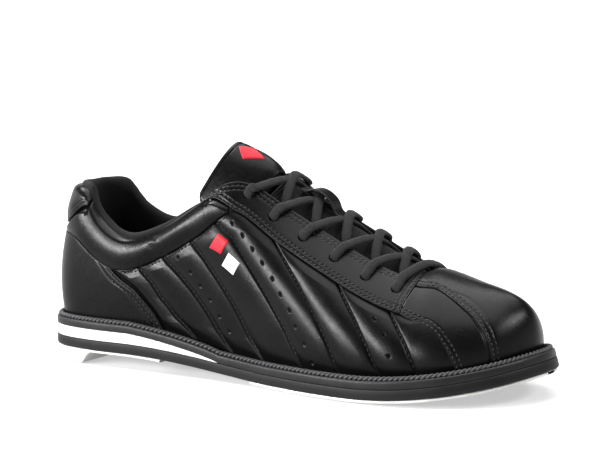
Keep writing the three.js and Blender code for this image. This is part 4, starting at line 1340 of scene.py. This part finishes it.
def flap_lining():
    n, m = 60, 80
    A, T = np.meshgrid(np.linspace(0.0, 1, n), np.linspace(0.0, 1, m), indexing="ij")
    p = on_flap(A, T)
    nrm = unit(np.cross(np.gradient(p, axis=0), np.gradient(p, axis=1)))
    body = np.sin(np.pi * np.clip(A * 0.96 + 0.04, 0, 1)) ** 0.6 * np.sin(np.pi * T) ** 0.4
    return free_sheet("tongue_top_cloth", p - nrm * 2.0, 1.6 + 3.2 * body, CLOTH, 0.8,
                      replaces=("tongue_top_lining",), slot="cloth", body="tongue_flap")


flap_top()
flap_lining()

# ------------------------------------------------------------------ lace keeper
KEEPER = [[4, .4], [7, 1.4], [10.5, 4.8], [15, 5.9], [20, 4.8], [24, 1.4], [27.5, .4]]
tongue_z = through(*[(r[0], r[1]) for r in TONGUE[::-1]])


def keeper():
    k = open_spline(KEEPER, np.linspace(0, 6, 90))
    x, h = k[:, 0], k[:, 1] + 0.9
    mid = np.stack([x + 0.45 * h, middle_y(x), tongue_z(x) + h * 0.9], -1)
    y = np.linspace(-1, 1, 26)
    p = mid[::-1, None] + arr([0, 1, 0]) * (4.6 * y)[None, :, None]
    return free_sheet("lace_keeper_strap", p, 1.2, LEATHER, 0.5,
                      lift=lambda la, lt: 0.25 * (1 - ((lt - 4.6) / 4.6) ** 2),
                      replaces=("lace_keeper",), slot="leather")


keeper()

# ------------------------------------------------------------------ lace
OVER_OUT, LACE_T, UNDER = 0.6, 1.6, -3.5
OVER = OVER_OUT + LACE_T / 2 + 0.35
LOW, HIGH = 2.1, 4.4
SOCK_TOP = 4.4


def side_u(u, inner):
    return AROUND - u if inner else u


def crossing(k):
    x = lambda i: float(skin(EYELETS[i][0], 1.0)[0])
    return x(5) + 6 if k == 5 else (x(k) + x(k + 1)) / 2 + 3


def strand(k, inner, height):
    (u, w), (v, z) = EYELETS[k], EYELETS[k + 1]
    b = side_u(v + 0.12, not inner)
    x = crossing(k)
    return [on_skin(side_u(u, inner), w, -0.6),
            on_skin(side_u(u + 0.01, inner), w + 0.01, OVER - 0.2),
            on_skin(side_u(u + 0.05, inner), w + 0.05, OVER),
            on_skin(side_u(u + 0.17, inner), 0.985, OVER + 0.7),
            arr([x, middle_y(x), tongue_z(x) + height]),
            on_skin(b, 1.0, -4.2), on_skin(b, 0.97, UNDER - 0.8),
            on_skin(side_u(v + 0.03, not inner), z + 0.06, UNDER),
            on_skin(side_u(v, not inner), z + 0.012, UNDER + 0.3)]


def tucked_end(inner):
    s = 1 if inner else -1
    u, w = EYELETS[0]

    def resting(x, d, up=0.0):
        return in_stack(x, middle_y(x) + s * d, welt_top(x) + SOCK_TOP + 2.9) + arr([0, 0, up])
    return [on_skin(side_u(u, inner), w - 0.012, UNDER + 0.3),
            on_skin(side_u(u - 0.02, inner), w - 0.07, UNDER - 1),
            on_skin(side_u(u - 0.05, inner), w - 0.16, LINE_IN - 2.2),
            arr([-14, s * 29, 76]), arr([-15, s * 27, 58]), arr([-16, s * 24, 42]),
            resting(-18, 20, 6.0), resting(-25, 16), resting(-34, 14.5), resting(-44, 14)]


def lace_bar():
    u, w = EYELETS[5]

    def half(inner):
        return [on_skin(side_u(u, inner), w, -0.6),
                on_skin(side_u(u + 0.01, inner), w + 0.01, OVER - 0.2),
                on_skin(side_u(u + 0.06, inner), w + 0.06, OVER),
                on_skin(side_u(u + 0.16, inner), 0.96, OVER + 0.5)]
    x = crossing(5)
    return half(True) + [arr([x, middle_y(x), 66.2])] + half(False)[::-1]


def lace_route():
    route = tucked_end(False)[::-1]
    for k in range(5):
        route += strand(k, k % 2 == 1, HIGH if k % 2 == 1 else LOW)
    route += lace_bar()
    for k in range(4, -1, -1):
        route += strand(k, k % 2 == 0, HIGH if k % 2 == 0 else LOW)[::-1]
    return arr(route + tucked_end(True))


def resample(path, step):
    s = run_length(path)
    x = np.linspace(0, s[-1], int(s[-1] / step) + 1)
    return np.stack([np.interp(x, s, path[:, k]) for k in range(3)], -1)


def relax(path, sigma, step):
    """Gaussian smoothing along the path, ends kept."""
    k = np.arange(-int(3 * sigma / step), int(3 * sigma / step) + 1)
    g = np.exp(-0.5 * (k * step / sigma) ** 2)
    g /= g.sum()
    pad = len(k) // 2
    full = np.concatenate([2 * path[0] - path[pad:0:-1], path, 2 * path[-1] - path[-2:-pad - 2:-1]])
    return np.stack([np.convolve(full[:, i], g, "valid") for i in range(3)], -1)


def make_lace():
    route = lace_route()
    path = open_spline(route, np.linspace(0, len(route) - 1, len(route) * 24))
    path = resample(path, 0.5)
    path = resample(relax(path, 1.0, 0.5), 0.5)
    along = arr([0.86, 0, -0.51])
    t = unit(np.gradient(path, axis=0))
    side = np.broadcast_to(along, path.shape) - (t @ along)[:, None] * t
    side = unit(relax(unit(side), 2.0, 0.5))
    q = np.linspace(0, 2 * np.pi, 29)[:-1]
    w, h = 2.55, 1.2
    power = 2 / 2.5
    sx = w * np.sign(np.cos(q)) * np.abs(np.cos(q)) ** power
    sy = h * np.sign(np.sin(q)) * np.abs(np.sin(q)) ** power
    s = np.arange(len(path)) * 0.5
    swell = 1 + 0.03 * np.sin(s[:, None] * 0.9 + 1.3) + 0.02 * np.sin(s[:, None] * 0.37)
    braid = 0.07 * np.maximum(np.sin(q[None] * 5 + s[:, None] * 2 * np.pi / 3.0),
                              np.sin(q[None] * 5 - s[:, None] * 2 * np.pi / 3.0))
    grow = 1 + braid / 1.4
    sec = np.stack([sx[None] * grow * swell, sy[None] * grow * swell], -1)
    print("lace length mm", round(float(s[-1]), 1))
    return tube(path, sec, "lace_braid", LACE, side=side, replaces=("lace",), slot="lace")


make_lace()

# ------------------------------------------------------------------ stitches
D_PANEL = 0.5
sew(*row(eyestay_low, 6.75, 11.85), D_PANEL, *TWO_ROWS)
t_v = span(0.02, 0.99)
sew(vamp_back(t_v), vamp_back_w(t_v), D_PANEL, *BACK_ROWS)
t_c = span(0.02, 0.87)
sew(cap_back(t_c), t_c, D_PANEL, *BACK_ROWS)
t_e = span(0.03, 0.97)
w_front = eyestay_low(11.8) * (1 - t_e) + t_e
sew(eyestay_front(w_front), w_front, D_PANEL, *TWO_ROWS)
sew(np.full(40, 6.66), span(0.955, 0.999, 40), D_PANEL, -1.4, -3.8)
sew(span(6.9, 12.25), np.full(60, 0.995), D_PANEL, -2.0, -4.4)
t_n = span(0.02, 0.97)
sew(counter_end(t_n), t_n * 0.57, D_PANEL, *TWO_ROWS)
sew(*row(tab_low, 0.02, 2.2), 0.62, 1.4, 3.4)
sew(*row(collar_low, 3.75, 7.2), lambda u, w: quilt(u, w) + 0.15, -1.6)


def quilt_groove(u, w):
    return quilt(u, w) + 0.12


for k in range(len(QUILT_SEAMS)):
    ws = span(arr(QUILT_SEAMS[k])[:, 1].min(), arr(QUILT_SEAMS[k])[:, 1].max() - 0.004, 80)
    sew(seam_u(k, ws), ws, quilt_groove, 0, pitch=2.9, length=2.0, r=0.34)
seam.build("seam_stitches", STITCH, slot="lace")

# ------------------------------------------------------------------ stitched marks
def lozenge(name, at, look, node, body, lift):
    """Satin-stitched lozenge: ridges of thread across a slightly crowned patch."""
    n = 66
    A, T = np.meshgrid(np.linspace(0, 1, n), np.linspace(0, 1, n), indexing="ij")
    p, nrm = at(A, T)
    la = A * 9.0
    d = np.minimum.reduce([A, 1 - A, T, 1 - T]) * 8
    h = lift + 0.45 * np.minimum(d / 1.0, 1) ** 0.5 + 0.12 * np.abs(np.sin(np.pi * la / 0.5))
    outer, inner = p + nrm * h[..., None], p + nrm * (lift - 0.8)
    verts, faces = closed_sheet(outer, inner)
    build(name, verts, faces, look, body=body, replaces=(node,),
          slot="mark_red" if "red" in node else "mark_white")


def mark_on_side(uc, wc, mirror):
    def at(A, T):
        u, w = uc + 0.34 * (A + T - 1), wc + 0.06 * (T - A)
        d = quilt(u, w)
        x = MIRROR - u if mirror else u
        n = skin_normal(x, w)
        return skin(x, w) + n * d[..., None], n
    if not mirror:
        return at
    return lambda A, T: tuple(v[::-1] for v in at(A, T))


for tag, uc, wc, look in (("red", 6.93, 0.635, RED), ("white", 7.22, 0.515, WHITE_THREAD)):
    for side, mirror in (("lateral", False), ("medial", True)):
        lozenge(f"stitched_{tag}_{side}", mark_on_side(uc, wc, mirror), look,
                f"mark_{tag}_{side}", "shoe", 0.05)


def mark_on_tongue(t0):
    def at(A, T):
        a, t = 0.45 + 0.2 * (A + T - 1), t0 + 0.1 * (T - A)
        e = 1e-3
        n = unit(np.cross(on_flap(a + e, t) - on_flap(a - e, t), on_flap(a, t + e) - on_flap(a, t - e)))
        return on_flap(a, t) + n * 1.0, n
    return at


for tag, t0, look in (("red", 0.4, RED), ("white", 0.62, WHITE_THREAD)):
    lozenge(f"tongue_stitched_{tag}", mark_on_tongue(t0), look, f"tongue_mark_{tag}",
            "tongue_flap", 0.0)

# ------------------------------------------------------------------ carried-over CAD nodes
for node, look in (("insole_board", BOARD), ("toe_puff", BOARD), ("heel_stiffener", BOARD),
                   ("aglet_lateral", PLASTIC), ("aglet_medial", PLASTIC)):
    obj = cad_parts[node]
    for s in obj.material_slots:
        s.link = "OBJECT"
        s.material = look

# ------------------------------------------------------------------ stage and light
def stage():
    me = bpy.data.meshes.new("floor")
    me.from_pydata([(-6, -6, 0), (6, -6, 0), (6, 6, 0), (-6, 6, 0)], [], [(0, 1, 2, 3)])
    k = Look("floor_paper", 0.9, Specular_IOR_Level=0.0, Emission_Color=(1, 1, 1, 1))
    away = k.node("ShaderNodeVectorMath", operation="LENGTH")
    k.link(k.place(), away.inputs[0])
    k.link(k.span(away.outputs["Value"], 250, 1600, 0.32, 0.98), k.bsdf.inputs["Emission Strength"])
    k.colour(k.ramp(k.noise(400, 2), (0.3, grey(0.31, (1, 1, 1))), (0.7, grey(0.34, (1, 1, 1)))))
    me.materials.append(k.mat)
    floor = bpy.data.objects.new("floor", me)
    bpy.context.scene.collection.objects.link(floor)
    floor.location.z = -0.0004
    world = bpy.data.worlds.new("studio")
    bpy.context.scene.world = world
    world.use_nodes = True
    nodes, links = world.node_tree.nodes, world.node_tree.links
    coords = nodes.new("ShaderNodeTexCoord")
    split = nodes.new("ShaderNodeSeparateXYZ")
    ramp = nodes.new("ShaderNodeValToRGB")
    for e, (pos, v) in zip(ramp.color_ramp.elements, ((0.10, 1.0), (0.40, 0.12))):
        e.position, e.color = pos, (v, v, v, 1)
    links.new(coords.outputs["Generated"], split.inputs[0])
    links.new(split.outputs["Z"], ramp.inputs["Fac"])
    links.new(ramp.outputs["Color"], nodes["Background"].inputs["Color"])


def softbox(name, location, target, width, height, radiance):
    data = bpy.data.lights.new(name, "AREA")
    data.shape = "RECTANGLE"
    data.size, data.size_y = width, height
    data.energy = radiance * math.pi * width * height
    lamp = bpy.data.objects.new(name, data)
    bpy.context.scene.collection.objects.link(lamp)
    lamp.location = location
    lamp.rotation_mode = "QUATERNION"
    lamp.rotation_quaternion = (Vector(target) - Vector(location)).to_track_quat("-Z", "Y")


stage()
view = bpy.context.scene.view_settings
view.view_transform, view.gamma, view.exposure = "Standard", 0.82, 0.62
softbox("front", (-0.80, -1.14, 0.40), (0.02, 0, 0.05), 1.3, 0.28, 36)
softbox("left", (-1.3, -0.1, 0.35), (0, 0, 0.05), 0.7, 0.35, 1.5)
softbox("over", (-0.05, 0.12, 1.40), (0.03, 0, 0.05), 1.5, 1.8, 4)
softbox("right", (1.05, 0.12, 0.84), (0.1, 0, 0.04), 0.32, 0.32, 24)
softbox("upper_left", (-0.80, 0.15, 1.05), (-0.06, 0, 0.08), 0.4, 0.4, 12)
